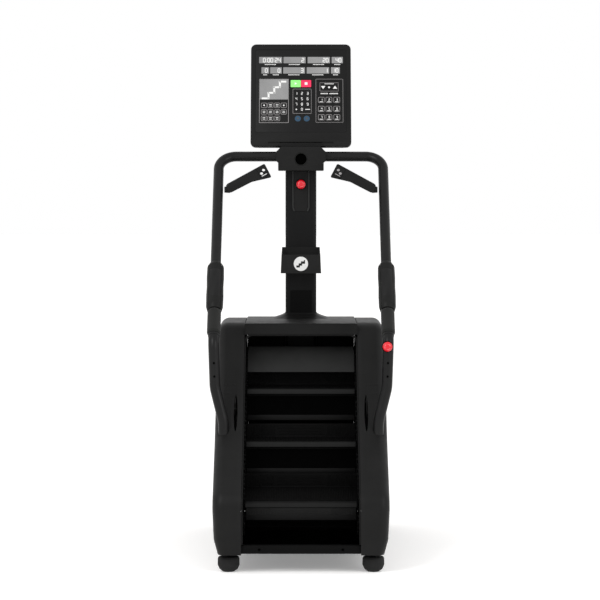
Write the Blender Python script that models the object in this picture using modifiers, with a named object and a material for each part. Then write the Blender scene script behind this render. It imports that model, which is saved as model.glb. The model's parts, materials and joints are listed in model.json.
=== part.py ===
"""Stair climber: a step mill with a moving staircase, shrouds, mast, handrails and console.

Metres, +Z up. The origin is on the floor, in the middle of the machine's footprint. The user
climbs on from -Y, and the console stands at +Y. Left and right are the user's: left is -X.
"""
import math

import bmesh
import bpy
from mathutils import Matrix, Vector

# Overall envelope
HALF_LENGTH = 0.71
BODY_HALF_WIDTH = 0.352
BODY_BOTTOM = 0.062
BODY_TOP = 0.958
TOTAL_HEIGHT = 2.1614

# Fits
GAP = 0.0003
RUNNING_GAP = 0.0006
SEAT_GAP = 0.002

# Staircase
STEP_RISE = 0.2
STEP_RUN = 0.2
STEP_HALF_WIDTH = 0.221
NOSE_Y = -0.36
NOSE_Z = 0.49
NOSE_HEIGHT = 0.023
TREAD_THICKNESS = 0.012
PLATE = 0.006
KICK_HEIGHT = 0.055
RISER_DROP = 0.131
LOWEST_RISER_DROP = 0.075
RISER_INSET = 0.018
SPROCKET_OFFSET = 0.122
STEP_PIN_REACH = 0.0465
CHAIN_RADIUS = SPROCKET_OFFSET - STEP_PIN_REACH
LOWER_TURN = math.radians(12.0)
UPPER_TURN = math.radians(-36.6)
STEP_PIN_RADIUS = 0.0127
RETURN_LENGTH = 0.18
RETURN_THICKNESS = 0.028
RETURN_STEPS = 3
RETURN_START = 0.135
RETURN_SPACING = 0.375
LOWER_SHARE = 1.0065
UPPER_SHARE = 1.6575

# Chains and shafts
CHAIN_INNER_X = 0.227
CHAIN_WIDTH = 0.014
CHAIN_HALF_HEIGHT = 0.006
SPROCKET_WIDTH = 0.006
SPROCKET_TEETH = 14
TOOTH_HEIGHT = 0.006
SHAFT_RADIUS = 0.0125

# Shrouds, skirts and covers
SKIRT_X = 0.2325
SKIRT_THICKNESS = 0.005
SKIRT_LINE_DROP = 0.028
SKIRT_FOOT = 0.11
SKIRT_MARGIN = 0.014
SHELL = 0.004
SHROUD_EDGE = 0.04
SHROUD_TUCK = 0.021
SHROUD_TUCK_Z = 0.20
SHROUD_TUCK_POWER = 2.1
SHROUD_RADII = (0.03, 0.03, 0.05, 0.12, 0.16, 0.10, 0.09, 0.25, 0.10, 0.05)
SHROUD_STEPS = 4
SHROUD_HEEL = 0.012
SHROUD_FRONT_LOW = 0.17
SHROUD_FRONT_HIGH = 0.30
SHROUD_BROW = (HALF_LENGTH - 0.11, BODY_TOP - 0.158)
SHROUD_CREST_Y = HALF_LENGTH - 0.29
SHROUD_BACK_Y = -0.01
SHROUD_WAIST = (-0.415, 0.53)
SHROUD_TAIL_HIGH = 0.30
SHROUD_TAIL_LOW = 0.13
COVER_FRONT_Y = -0.06
COVER_BACK_Y = 0.475
LINTEL_HEIGHT = 0.049
LINTEL_CORNER = 0.006
COVER_BROW = (HALF_LENGTH - 0.12, BODY_TOP - 0.161)
COVER_RADII = (0.0, 0.14, 0.12, 0.0)
COVER_EDGE_IN = 0.014

INLET_WIDTH = 0.051
INLET_HEIGHT = 0.039
INLET_DEPTH = 0.0355
INLET_RECESS = 0.0065
INLET_Z = 0.1005

# Frame
FRAME_X = 0.289
FRAME_THICKNESS = 0.014
FRAME_BOTTOM = 0.072
FRAME_TOP = BODY_TOP - 0.158
FRAME_MARGIN = 0.04
FRAME_CORNER = 0.012
FRAME_FRONT_Z = 0.13
FRAME_CREST_Y = 0.47
FRAME_TAIL_Z = 0.15
FRAME_BACK_Y = -0.02
FRAME_HOLES = (((0.26, 0.62), 0.075), ((0.15, 0.40), 0.085), ((0.40, 0.20), 0.08),
               ((-0.12, 0.30), 0.075), ((0.12, 0.18), 0.07))
BAR_HEIGHT = 0.034
BAR_DEPTH = 0.036
REAR_BAR_Z = 0.096
REAR_BAR_IN = 0.018
FRONT_BAR_IN = 0.12
BAR_EDGE = 0.003

# Feet and wheels
FOOT_RADIUS = 0.044
FOOT_STEM = 0.009
FOOT_PAD_SHARE = 0.52
REAR_FOOT_IN = 0.085
FRONT_FOOT_IN = 0.18
WHEEL_RADIUS = 0.034
WHEEL_WIDTH = 0.025
WHEEL_X = 0.205
WHEEL_Y = HALF_LENGTH - 0.055
WHEEL_Z = 0.055
WHEEL_LUG = 0.026
AXLE_RADIUS = 0.006

# Mast and hub
MAST_Y = 0.40
MAST_WIDTH = 0.135
MAST_DEPTH = 0.10
MAST_WALL = 0.003
MAST_CORNER = 0.014
MAST_FOOT_Z = 0.79
COLLAR_FLARE = 0.05
COLLAR_HEIGHT = 0.022
COLLAR_BACK_SHARE = 0.4
HUB_TOP = TOTAL_HEIGHT - 0.4544
HUB_BOTTOM = HUB_TOP - 0.105
HUB_HALF_WIDTH = 0.1076
HUB_NECK_HALF_WIDTH = 0.099
HUB_TOP_HALF_WIDTH = 0.085
HUB_SHOULDER_DROP = 0.023
HUB_SIDE_DROP = 0.064
HUB_NECK_DROP = 0.070
HUB_CORNER = 0.003
HUB_FRONT_Y = 0.275
HUB_BACK_Y = 0.455
PORT_RADIUS = 0.0265
PORT_Z = HUB_TOP - 0.055
PORT_DEPTH = 0.02

# Handrails
TUBE_RADIUS = 0.0218
RAIL_X = 0.357
POST_X = 0.351
RAIL_Y = 0.34
RAIL_Z = HUB_TOP - 0.043
RAIL_BEND = 0.075
POST_Y = -0.39
POST_BEND_Z = 0.90
POST_BEND = 0.07
POST_JOG_TOP = 0.715
POST_JOG_BOTTOM = 0.575
POST_END_Y = -0.40
POST_END_X = 0.316
POST_END_Z = 0.515
GRIP_TOP_Z = 1.21
GRIP_BOTTOM_Z = 1.02
SLEEVE_BOTTOM_Z = 0.93
GRIP_RADIUS = 0.036
SLEEVE_RADIUS = 0.028
RAIL_JOINT_Z = 0.96

# Console
CONSOLE_WIDTH = 0.44
CONSOLE_LENGTH = 0.482
CONSOLE_TILT = math.radians(20.0)
CONSOLE_CORNER = 0.024
BEZEL_THICKNESS = 0.022
HOUSING_DEPTH = 0.045
HOUSING_MARGIN = 0.014
OVERLAY_WIDTH = 0.398
OVERLAY_HEIGHT = 0.39
OVERLAY_THICKNESS = 0.003
OVERLAY_BOTTOM = 0.066
CONSOLE_Y = 0.325
KEY_WIDTH = 0.0445
KEY_HEIGHT = 0.033
KEY_THICKNESS = 0.004
KEY_GAP = 0.001
KEY_UP = 0.2775
KEY_TRAVEL_ROOM = 0.0012

# Stop buttons
STOP_RADIUS = 0.02
STOP_STEM = 0.008
STOP_COLLAR = 0.0225
STOP_COLLAR_DEPTH = 0.012
STOP_HEAD = 0.016
STOP_TRAVEL_ROOM = 0.006
MAST_STOP_Z = HUB_BOTTOM - 0.059
HOUSING_HEIGHT = 0.177
HOUSING_WIDTH = 0.074
HOUSING_CORNER = 0.02
HOUSING_RIB = 0.005
POST_STOP_Z = 0.885
HOUSING_PLATE = 0.008

# Holder and control arms
HOLDER_BOTTOM = BODY_TOP + 0.199
HOLDER_FRONT_TOP = HOLDER_BOTTOM + 0.081
HOLDER_TOP = HOLDER_BOTTOM + 0.112
HOLDER_HALF_WIDTH = 0.088
HOLDER_DEPTH = 0.095
HOLDER_WALL = 0.004
ARM_THICKNESS = 0.032
ARM_Z = RAIL_Z - 0.144
ARM_KEY_WIDTH = 0.038
ARM_KEY_HEIGHT = 0.044
ARM_KEY_CENTRE = (0.1647, ARM_Z + 0.0762)
ARM_OUTLINE = ((0.325, 0.021), (0.157, 0.1123), (0.1262, 0.053), (0.212, 0.033), (0.315, -0.02))
ARM_RADII = (0.016, 0.006, 0.006, 0.04, 0.016)
ARM_KEY_THICKNESS = 0.005
ARM_KEY_POCKET = 0.004
ARM_SLOPE = math.radians(28.5)
ARM_NECK_RADIUS = 0.013
ARM_NECK_X = 0.29

# Drive
PULLEY_RADIUS = 0.10
PULLEY_X = 0.31
PULLEY_WIDTH = 0.014
BELT_THICKNESS = 0.003
BRAKE_RATIO = 5.0
BRAKE_Y = 0.36
BRAKE_Z = 0.40
FLYWHEEL_RADIUS = 0.085
FLYWHEEL_OFFSET = 0.10
FLYWHEEL_WIDTH = 0.025
ROTOR_END = 0.14
ROTOR_HUB_RADIUS = 0.02
PULLEY_HUB_RADIUS = 0.03
CONTROLLER_LOW = (-0.16, 0.46, 0.122)
CONTROLLER_HIGH = (0.04, 0.58, 0.24)

CIRCLE = 24
ROUND = 4


def clear_scene():
    """Removes every object that the scene holds."""
    for item in list(bpy.data.objects):
        bpy.data.objects.remove(item, do_unlink=True)


def collection(name):
    """Makes a collection in the scene."""
    made = bpy.data.collections.new(name)
    bpy.context.scene.collection.children.link(made)
    return made


clear_scene()
PARTS = collection("stair_climber")
CUTTERS = collection("cutters")


def finish_material(name, color, roughness, metallic):
    """Makes a Principled material."""
    made = bpy.data.materials.new(name)
    made.use_nodes = True
    shader = made.node_tree.nodes["Principled BSDF"]
    shader.inputs["Base Color"].default_value = (*color, 1.0)
    shader.inputs["Roughness"].default_value = roughness
    shader.inputs["Metallic"].default_value = metallic
    return made


FINISHES = {
    "paint": ((0.02, 0.02, 0.021), 0.42, 0.1),
    "plastic": ((0.022, 0.022, 0.023), 0.5, 0.0),
    "tread": ((0.012, 0.012, 0.012), 0.6, 0.0),
    "rubber": ((0.015, 0.015, 0.015), 0.8, 0.0),
    "foam": ((0.018, 0.018, 0.018), 0.9, 0.0),
    "screen": ((0.01, 0.01, 0.011), 0.15, 0.0),
    "red": ((0.7, 0.01, 0.03), 0.35, 0.0),
    "green": ((0.02, 0.55, 0.12), 0.4, 0.0),
    "steel": ((0.45, 0.45, 0.46), 0.35, 1.0),
    "badge": ((0.85, 0.85, 0.85), 0.4, 0.0),
}


def dress(item, finish):
    """Gives an object a material of its own."""
    item.data.materials.clear()
    item.data.materials.append(finish_material(item.name, *FINISHES[finish]))


def place(name, data, group=PARTS, location=(0, 0, 0), rotation=(0, 0, 0)):
    """Links a new object with some data."""
    item = bpy.data.objects.new(name, data)
    item.location = location
    item.rotation_euler = rotation
    group.objects.link(item)
    if group is CUTTERS:
        item.hide_render = True
        item.display_type = "WIRE"
    return item


def shade(data, angle=40.0):
    """Shades a mesh smooth up to an angle."""
    data.shade_smooth()
    data.set_sharp_from_angle(angle=math.radians(angle))


def mesh_from(name, bm):
    """Turns a bmesh into mesh data."""
    data = bpy.data.meshes.new(name)
    bmesh.ops.recalc_face_normals(bm, faces=bm.faces)
    bm.to_mesh(data)
    bm.free()
    return data


def bevel(item, width, segments=2, angle=35.0):
    """Rounds an object's sharp edges."""
    mod = item.modifiers.new("bevel", "BEVEL")
    mod.width = width
    mod.segments = segments
    mod.limit_method = "ANGLE"
    mod.angle_limit = math.radians(angle)
    return mod


def boolean(item, other, operation="DIFFERENCE"):
    """Cuts or joins a cutter into an object."""
    mod = item.modifiers.new("boolean", "BOOLEAN")
    mod.operation = operation
    mod.solver = "EXACT"
    mod.object = other
    return mod


def box(name, low, high, group=PARTS, finish="plastic", edge=0.0, segments=2):
    """A box between two corners, whose origin is its middle."""
    low = Vector(low)
    high = Vector(high)
    size = high - low
    bm = bmesh.new()
    bmesh.ops.create_cube(bm, size=1.0, matrix=Matrix.Diagonal((*size, 1.0)))
    item = place(name, mesh_from(name, bm), group, (low + high) / 2)
    if group is PARTS:
        dress(item, finish)
    if edge > 0.0:
        bevel(item, edge, segments)
    return item


AXIS_TURN = {"X": (0.0, math.pi / 2, 0.0), "Y": (-math.pi / 2, 0.0, 0.0), "Z": (0.0, 0.0, 0.0)}


def cylinder(name, middle, radius, length, axis="X", group=PARTS, finish="steel", sides=CIRCLE):
    """A cylinder about an axis."""
    bm = bmesh.new()
    bmesh.ops.create_cone(bm, cap_ends=True, segments=sides, radius1=radius, radius2=radius,
                          depth=length)
    item = place(name, mesh_from(name, bm), group, middle, AXIS_TURN[axis])
    if group is PARTS:
        shade(item.data)
        dress(item, finish)
    return item


def turned(name, profile, location, rotation=(0, 0, 0), group=PARTS, finish="plastic", sides=CIRCLE):
    """A turned solid: the profile's radius and height pairs run from its top to its bottom."""
    bm = bmesh.new()
    points = [bm.verts.new((radius, 0.0, height)) for radius, height in profile]
    for start, end in zip(points, points[1:]):
        bm.edges.new((start, end))
    if profile[0][0] > 0.0:
        bm.edges.new((points[-1], points[0]))
    data = bpy.data.meshes.new(name)
    bm.to_mesh(data)
    bm.free()
    item = place(name, data, group, location, rotation)
    mod = item.modifiers.new("turn", "SCREW")
    mod.axis = "Z"
    mod.angle = 2 * math.pi
    mod.steps = sides
    mod.render_steps = sides
    mod.use_merge_vertices = True
    mod.merge_threshold = 0.0001
    mod.use_smooth_shade = True
    if group is PARTS:
        dress(item, finish)
    return item


def arc(centre, radius, start, end, count):
    """Points on an arc in a plane, with its ends."""
    return [(centre[0] + radius * math.cos(start + (end - start) * i / count),
             centre[1] + radius * math.sin(start + (end - start) * i / count))
            for i in range(count + 1)]


def circle(centre, radius, sides=CIRCLE):
    """Points round a circle."""
    return arc(centre, radius, 0.0, 2 * math.pi, sides)[:-1]


def fillet(points, radii, count=ROUND, closed=True):
    """Rounds the corners of a path in a plane or in space."""
    path = [Vector(p) for p in points]
    if isinstance(radii, float):
        radii = [radii] * len(path)
    made = []
    total = len(path)
    for i, corner in enumerate(path):
        if radii[i] <= 0.0 or (not closed and i in (0, total - 1)):
            made.append(corner)
            continue
        back = (path[i - 1] - corner).normalized()
        ahead = (path[(i + 1) % total] - corner).normalized()
        half = back.angle(ahead) / 2
        reach = radii[i] / math.tan(half)
        centre = corner + (back + ahead).normalized() * (radii[i] / math.sin(half))
        first = corner + back * reach - centre
        last = corner + ahead * reach - centre
        sweep = first.angle(last)
        for k in range(count + 1):
            t = k / count
            spread = (math.sin((1 - t) * sweep) * first + math.sin(t * sweep) * last) / math.sin(sweep)
            made.append(centre + spread)
    return [tuple(p) for p in made]


def baked(curve_item, group, finish, edge=0.0):
    """Turns a curve object into a welded mesh object with the same name and place."""
    bpy.context.view_layer.update()
    graph = bpy.context.evaluated_depsgraph_get()
    data = bpy.data.meshes.new_from_object(curve_item.evaluated_get(graph))
    bm = bmesh.new()
    bm.from_mesh(data)
    bmesh.ops.remove_doubles(bm, verts=bm.verts, dist=0.00001)
    bmesh.ops.recalc_face_normals(bm, faces=bm.faces)
    bm.to_mesh(data)
    bm.free()
    name = curve_item.name
    matrix = curve_item.matrix_world.copy()
    bpy.data.objects.remove(curve_item)
    data.name = name
    item = place(name, data, group)
    item.matrix_world = matrix
    shade(data)
    if group is PARTS:
        dress(item, finish)
    if edge > 0.0:
        bevel(item, edge)
    return item


PLANE_TURN = {"YZ": (math.pi / 2, 0.0, math.pi / 2), "XZ": (math.pi / 2, 0.0, 0.0), "XY": (0.0, 0.0, 0.0)}


def prism(name, loops, thickness, location, plane="YZ", group=PARTS, finish="plastic", edge=0.0):
    """A flat outline, with holes if it has more loops, extruded evenly both ways."""
    data = bpy.data.curves.new(name, "CURVE")
    data.dimensions = "2D"
    data.fill_mode = "BOTH"
    data.extrude = thickness / 2
    for loop in loops:
        spline = data.splines.new("POLY")
        spline.points.add(len(loop) - 1)
        for point, place_2d in zip(spline.points, loop):
            point.co = (place_2d[0], place_2d[1], 0.0, 1.0)
        spline.use_cyclic_u = True
    item = place(name, data, group, location, PLANE_TURN[plane])
    return baked(item, group, finish, edge)


def tube(name, points, radius, finish="paint", group=PARTS, smoothness=4):
    """A round tube along a path."""
    data = bpy.data.curves.new(name, "CURVE")
    data.dimensions = "3D"
    data.bevel_depth = radius
    data.bevel_resolution = smoothness
    data.use_fill_caps = True
    spline = data.splines.new("POLY")
    spline.points.add(len(points) - 1)
    for point, where in zip(spline.points, points):
        point.co = (*where, 1.0)
    item = place(name, data, group)
    return baked(item, group, finish)


def strip(points, thickness):
    """The closed outline of a bent plate: a path and its copy offset to its left."""
    path = [Vector(p) for p in points]
    inner = []
    for i, corner in enumerate(path):
        before = (corner - path[i - 1]).normalized() if i > 0 else None
        after = (path[i + 1] - corner).normalized() if i < len(path) - 1 else None
        before = before or after
        after = after or before
        normal = Vector((-before.y - after.y, before.x + after.x)).normalized()
        lean = normal.dot(Vector((-before.y, before.x)))
        inner.append(corner + normal * thickness / lean)
    return [tuple(p) for p in path] + [tuple(p) for p in reversed(inner)]


def sides():
    """The two sides of the machine, with their signs."""
    return (("left", -1.0), ("right", 1.0))


# Derived places of the staircase
INCLINE = Vector((STEP_RUN, STEP_RISE)).normalized()
INWARD = Vector((INCLINE.y, -INCLINE.x))
FIRST_NOSE = Vector((NOSE_Y, NOSE_Z))
PITCH = Vector((STEP_RUN, STEP_RISE))
LOWER_AXIS = FIRST_NOSE - PITCH * LOWER_SHARE + INWARD * SPROCKET_OFFSET
UPPER_AXIS = FIRST_NOSE + PITCH * UPPER_SHARE + INWARD * SPROCKET_OFFSET


def turn_2d(point, angle):
    """Turns a point of the side view about the origin."""
    return Vector((point[0] * math.cos(angle) - point[1] * math.sin(angle),
                   point[0] * math.sin(angle) + point[1] * math.cos(angle)))


def step_outline(drop):
    """A step's section, from its nose at the origin: tread, kick plate, nose strip and riser."""
    back = STEP_RUN - PLATE
    riser_middle = -(NOSE_HEIGHT + drop) / 2
    outer = [(0.0, 0.0), (0.0, -NOSE_HEIGHT), (RISER_INSET * 0.6, -NOSE_HEIGHT)]
    outer += [(RISER_INSET, riser_middle * 0.8), (RISER_INSET * 0.95, riser_middle * 1.15)]
    outer += [(RISER_INSET * 0.5, -drop * 0.88), (0.0, -drop)]
    outer += [(PLATE, -drop), (RISER_INSET * 0.5 + PLATE, -drop * 0.88 + PLATE / 2)]
    outer += [(RISER_INSET + PLATE, riser_middle), (RISER_INSET + PLATE, -NOSE_HEIGHT * 0.9)]
    outer += [(RISER_INSET + 2 * PLATE, -TREAD_THICKNESS), (back + PLATE, -TREAD_THICKNESS)]
    outer += [(back + PLATE, KICK_HEIGHT), (back, KICK_HEIGHT)]
    outer += [(back, 0.0)]
    return outer


def step(name, nose, angle, pivot, drop=RISER_DROP):
    """One rigid step, turned about its nose by an angle, with its origin at its pivot."""
    outline = []
    for point in step_outline(drop):
        world = nose + turn_2d(point, angle)
        outline.append(tuple(world - pivot))
    item = prism(name, [outline], 2 * STEP_HALF_WIDTH, (0.0, pivot.x, pivot.y), finish="tread")
    pin = nose + turn_2d(tuple(INWARD * STEP_PIN_REACH), angle)
    pin_length = 2 * (CHAIN_INNER_X - GAP)
    bar = cylinder(name + "_pin", (0.0, pin.x, pin.y), STEP_PIN_RADIUS, pin_length, group=CUTTERS,
                   sides=12)
    boolean(item, bar, "UNION")
    return item


def staircase():
    """The four steps in use and the folded steps that return underneath."""
    lower_nose = LOWER_AXIS + turn_2d(tuple(-INWARD * SPROCKET_OFFSET), LOWER_TURN)
    upper_nose = UPPER_AXIS + turn_2d(tuple(-INWARD * SPROCKET_OFFSET), UPPER_TURN)
    chain_drop = INWARD * STEP_PIN_REACH
    step("step_1", lower_nose, LOWER_TURN, LOWER_AXIS, LOWEST_RISER_DROP)
    step("step_2", FIRST_NOSE, 0.0, FIRST_NOSE + chain_drop)
    step("step_3", FIRST_NOSE + PITCH, 0.0, FIRST_NOSE + PITCH + chain_drop)
    step("step_4", upper_nose, UPPER_TURN, UPPER_AXIS)
    span = (UPPER_AXIS - LOWER_AXIS).length
    for index in range(RETURN_STEPS):
        along = span * (RETURN_START + RETURN_SPACING * index)
        middle = LOWER_AXIS + INCLINE * along + INWARD * (CHAIN_RADIUS + RETURN_THICKNESS)
        half = RETURN_LENGTH / 2
        deep = RETURN_THICKNESS / 2
        corners = [(-half, -deep), (half, -deep), (half, -deep / 3), (half - deep, deep), (-half, deep)]
        slant = INCLINE.angle_signed(Vector((1.0, 0.0)))
        outline = fillet([tuple(turn_2d(p, slant)) for p in corners], PLATE / 2, 2)
        name = f"return_step_{index + 1}"
        item = prism(name, [outline], 2 * STEP_HALF_WIDTH, (0.0, middle.x, middle.y), finish="tread")
        pin = middle - INWARD * RETURN_THICKNESS
        bar = cylinder(name + "_pin", (0.0, pin.x, pin.y), STEP_PIN_RADIUS,
                       2 * (CHAIN_INNER_X - GAP), group=CUTTERS, sides=12)
        lug = box(name + "_lug", (-STEP_HALF_WIDTH, pin.x - PLATE, pin.y - PLATE),
                  (STEP_HALF_WIDTH, pin.x + PLATE + INWARD.x * deep * 2, pin.y + PLATE), group=CUTTERS)
        boolean(item, lug, "UNION")
        boolean(item, bar, "UNION")


def tooth_outline(radius, teeth, height):
    """A sprocket's outline."""
    points = []
    for index in range(teeth):
        base = 2 * math.pi * (index + 0.2) / teeth
        width = math.pi / teeth
        for share, reach in ((0.0, radius - height), (0.5, radius - height), (0.9, radius), (1.5, radius)):
            angle = base + width * share
            points.append((reach * math.cos(angle), reach * math.sin(angle)))
    return points


def sprocket_shaft(name, axis_point):
    """A shaft across the machine with a toothed wheel at each end."""
    length = 2 * (FRAME_X + FRAME_THICKNESS / 2 + SEAT_GAP)
    shaft = cylinder(name, (0.0, axis_point.x, axis_point.y), SHAFT_RADIUS, length, sides=16)
    radius = CHAIN_RADIUS - CHAIN_HALF_HEIGHT - RUNNING_GAP
    for side, sign in sides():
        x = sign * (CHAIN_INNER_X + CHAIN_WIDTH / 2)
        wheel = prism(f"{name}_{side}", [tooth_outline(radius, SPROCKET_TEETH, TOOTH_HEIGHT)],
                      SPROCKET_WIDTH, (x, axis_point.x, axis_point.y), group=CUTTERS)
        boolean(shaft, wheel, "UNION")
    return shaft


def racetrack(low, low_radius, high, high_radius, count=10):
    """A band's outline round two circles, which its flats touch from outside."""
    low = Vector(low)
    high = Vector(high)
    line = high - low
    heading = math.atan2(line.y, line.x)
    lean = math.acos((low_radius - high_radius) / line.length)
    swell_far = 1 / math.cos(lean / count)
    swell_near = 1 / math.cos((math.pi - lean) / count)
    far = arc(high, high_radius * swell_far, heading - lean, heading + lean, count)
    near = arc(low, low_radius * swell_near, heading + lean, heading + 2 * math.pi - lean, count)
    return far + near


def chains():
    """The two step chains, each a closed band round both wheels."""
    low = tuple(LOWER_AXIS)
    high = tuple(UPPER_AXIS)
    inner = CHAIN_RADIUS - CHAIN_HALF_HEIGHT
    outer = CHAIN_RADIUS + CHAIN_HALF_HEIGHT
    for side, sign in sides():
        loops = [racetrack(low, outer, high, outer), racetrack(low, inner, high, inner)]
        x = sign * (CHAIN_INNER_X + CHAIN_WIDTH / 2)
        prism(f"step_chain_{side}", loops, CHAIN_WIDTH, (x, 0.0, 0.0), finish="steel")


def inset_corners(corners, distance):
    """Moves every side of a closed counter-clockwise outline inwards by a distance."""
    path = [Vector(p) for p in corners]
    made = []
    for i, corner in enumerate(path):
        before = (corner - path[i - 1]).normalized()
        after = (path[(i + 1) % len(path)] - corner).normalized()
        first = Vector((-before.y, before.x))
        second = Vector((-after.y, after.x))
        made.append(corner + (first + second) * distance / (1.0 + first.dot(second)))
    return made


def shroud_outline(inset=0.0, foot=0.0):
    """The side shroud's outline in the side view, set in by a distance and let down at its foot."""
    end = HALF_LENGTH
    corners = [(-end + SHROUD_HEEL, BODY_BOTTOM), (end - SHROUD_HEEL, BODY_BOTTOM), (end, SHROUD_FRONT_LOW),
               (end, SHROUD_FRONT_HIGH), SHROUD_BROW, (SHROUD_CREST_Y, BODY_TOP),
               (SHROUD_BACK_Y, BODY_TOP), SHROUD_WAIST, (-end, SHROUD_TAIL_HIGH), (-end, SHROUD_TAIL_LOW)]
    path = inset_corners(corners, inset)
    for corner in path[:2]:
        corner.y -= foot
    return fillet(path, [max(radius - inset, SHELL) for radius in SHROUD_RADII], SHROUD_STEPS)


def tucked(x, z):
    """The shroud's width at a height: its outer face draws in towards the foot."""
    share = max(SHROUD_TUCK_Z - z, 0.0) / (SHROUD_TUCK_Z - BODY_BOTTOM)
    inner = SKIRT_X + SKIRT_THICKNESS + GAP
    reach = max(x - inner, 0.0) / (BODY_HALF_WIDTH - inner)
    return x - SHROUD_TUCK * reach * min(share, 1.0) ** SHROUD_TUCK_POWER


def shroud_solid(name, sign, wall, group):
    """A side shroud's outer form, or its hollow when a wall is given, lofted to a rounded rim."""
    inner_x = SKIRT_X + SKIRT_THICKNESS + GAP
    foot = 2 * wall
    start = inner_x - wall
    rim = BODY_HALF_WIDTH - SHROUD_EDGE
    sections = [(start, wall), (rim, wall)]
    round_edge = SHROUD_EDGE - wall
    for index in range(1, SHROUD_STEPS + 1):
        turn = math.pi / 2 * index / SHROUD_STEPS
        sections.append((rim + round_edge * math.sin(turn), wall + round_edge * (1 - math.cos(turn))))
    bm = bmesh.new()
    rings = []
    for x, inset in sections:
        outline = shroud_outline(inset, foot)
        rings.append([bm.verts.new((sign * tucked(x, z), y, z)) for y, z in outline])
    for near, far in zip(rings, rings[1:]):
        for i, vert in enumerate(near):
            before = i - 1
            bm.faces.new((near[before], vert, far[i], far[before]))
    bm.faces.new(rings[0])
    bm.faces.new(rings[-1])
    item = place(name, mesh_from(name, bm), group)
    shade(item.data)
    if group is PARTS:
        dress(item, "plastic")
    return item


def shrouds():
    """The two side shrouds: shells with rounded outer edges, open inwards and below."""
    for side, sign in sides():
        item = shroud_solid(f"side_shroud_{side}", sign, 0.0, PARTS)
        hollow = shroud_solid(f"shroud_hollow_{side}", sign, SHELL, CUTTERS)
        boolean(item, hollow)
        post = cylinder(f"post_hole_{side}", (sign * POST_END_X, POST_END_Y, POST_END_Z + 0.1),
                        TUBE_RADIUS + SEAT_GAP, 0.3, "Z", CUTTERS)
        boolean(item, post)


def skirts():
    """The flat inner skirts beside the steps."""
    intercept = NOSE_Z - NOSE_Y - SKIRT_LINE_DROP
    top = BODY_TOP - LINTEL_HEIGHT - SEAT_GAP * 2
    low = REAR_BAR_Z + BAR_HEIGHT / 2 + SEAT_GAP * 2
    foot = -HALF_LENGTH + SKIRT_FOOT
    outline = [(-HALF_LENGTH + SKIRT_MARGIN, low), (-HALF_LENGTH + SKIRT_MARGIN, SHROUD_TAIL_HIGH - SHELL),
               (SHROUD_WAIST[0] + SKIRT_MARGIN, SHROUD_WAIST[1] - SHELL),
               (SHROUD_BACK_Y - 2 * SKIRT_MARGIN, top), (top - intercept, top), (foot, foot + intercept),
               (foot - SKIRT_MARGIN, low)]
    for side, sign in sides():
        x = sign * (SKIRT_X + SKIRT_THICKNESS / 2)
        prism(f"inner_skirt_{side}", [outline], SKIRT_THICKNESS, (x, 0.0, 0.0))


def covers():
    """The top cover over the stairs and the front cover."""
    half = SKIRT_X + SKIRT_THICKNESS
    bottom = BODY_TOP - LINTEL_HEIGHT
    corners = [(-half, bottom), (half, bottom), (half, BODY_TOP), (-half, BODY_TOP)]
    outline = fillet(corners, [0.0, 0.0, LINTEL_CORNER, LINTEL_CORNER], ROUND)
    middle = (COVER_FRONT_Y + COVER_BACK_Y) / 2
    depth = COVER_BACK_Y - COVER_FRONT_Y
    top = prism("top_cover", [outline], depth, (0.0, middle, 0.0), "XZ")
    inner = [(-half + SHELL, bottom - SHELL), (half - SHELL, bottom - SHELL),
             (half - SHELL, BODY_TOP - SHELL), (-half + SHELL, BODY_TOP - SHELL)]
    inner = fillet(inner, [0.0, 0.0, LINTEL_CORNER / 2, LINTEL_CORNER / 2], ROUND)
    hollow = prism("top_cover_hollow", [inner], depth - 2 * SHELL, (0.0, middle, 0.0), "XZ", CUTTERS)
    boolean(top, hollow)
    mast_hole = box("mast_hole", (-MAST_WIDTH / 2 - SEAT_GAP, MAST_Y - MAST_DEPTH / 2 - SEAT_GAP,
                                  bottom - SHELL),
                    (MAST_WIDTH / 2 + SEAT_GAP, MAST_Y + MAST_DEPTH / 2 + SEAT_GAP, BODY_TOP + SHELL), CUTTERS)
    boolean(top, mast_hole)
    path = fillet([(COVER_BACK_Y + SHELL, BODY_TOP - SHELL), COVER_BROW,
                   (HALF_LENGTH - SHELL, SHROUD_FRONT_HIGH), (HALF_LENGTH - COVER_EDGE_IN, FRAME_BOTTOM)],
                  COVER_RADII, 5, False)
    outline = strip(path, -SHELL)
    front = prism("front_cover", [outline], 2 * half, (0.0, 0.0, 0.0))
    half_inlet = INLET_WIDTH / 2
    outer_y = HALF_LENGTH - INLET_RECESS
    socket = box("inlet_hole", (-half_inlet - RUNNING_GAP, outer_y - 2 * INLET_DEPTH, INLET_Z - RUNNING_GAP),
                 (half_inlet + RUNNING_GAP, outer_y + INLET_DEPTH, INLET_Z + INLET_HEIGHT + RUNNING_GAP), CUTTERS)
    boolean(front, socket)
    box("power_inlet", (-half_inlet, outer_y - INLET_DEPTH, INLET_Z),
        (half_inlet, outer_y, INLET_Z + INLET_HEIGHT), edge=SEAT_GAP)


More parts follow.
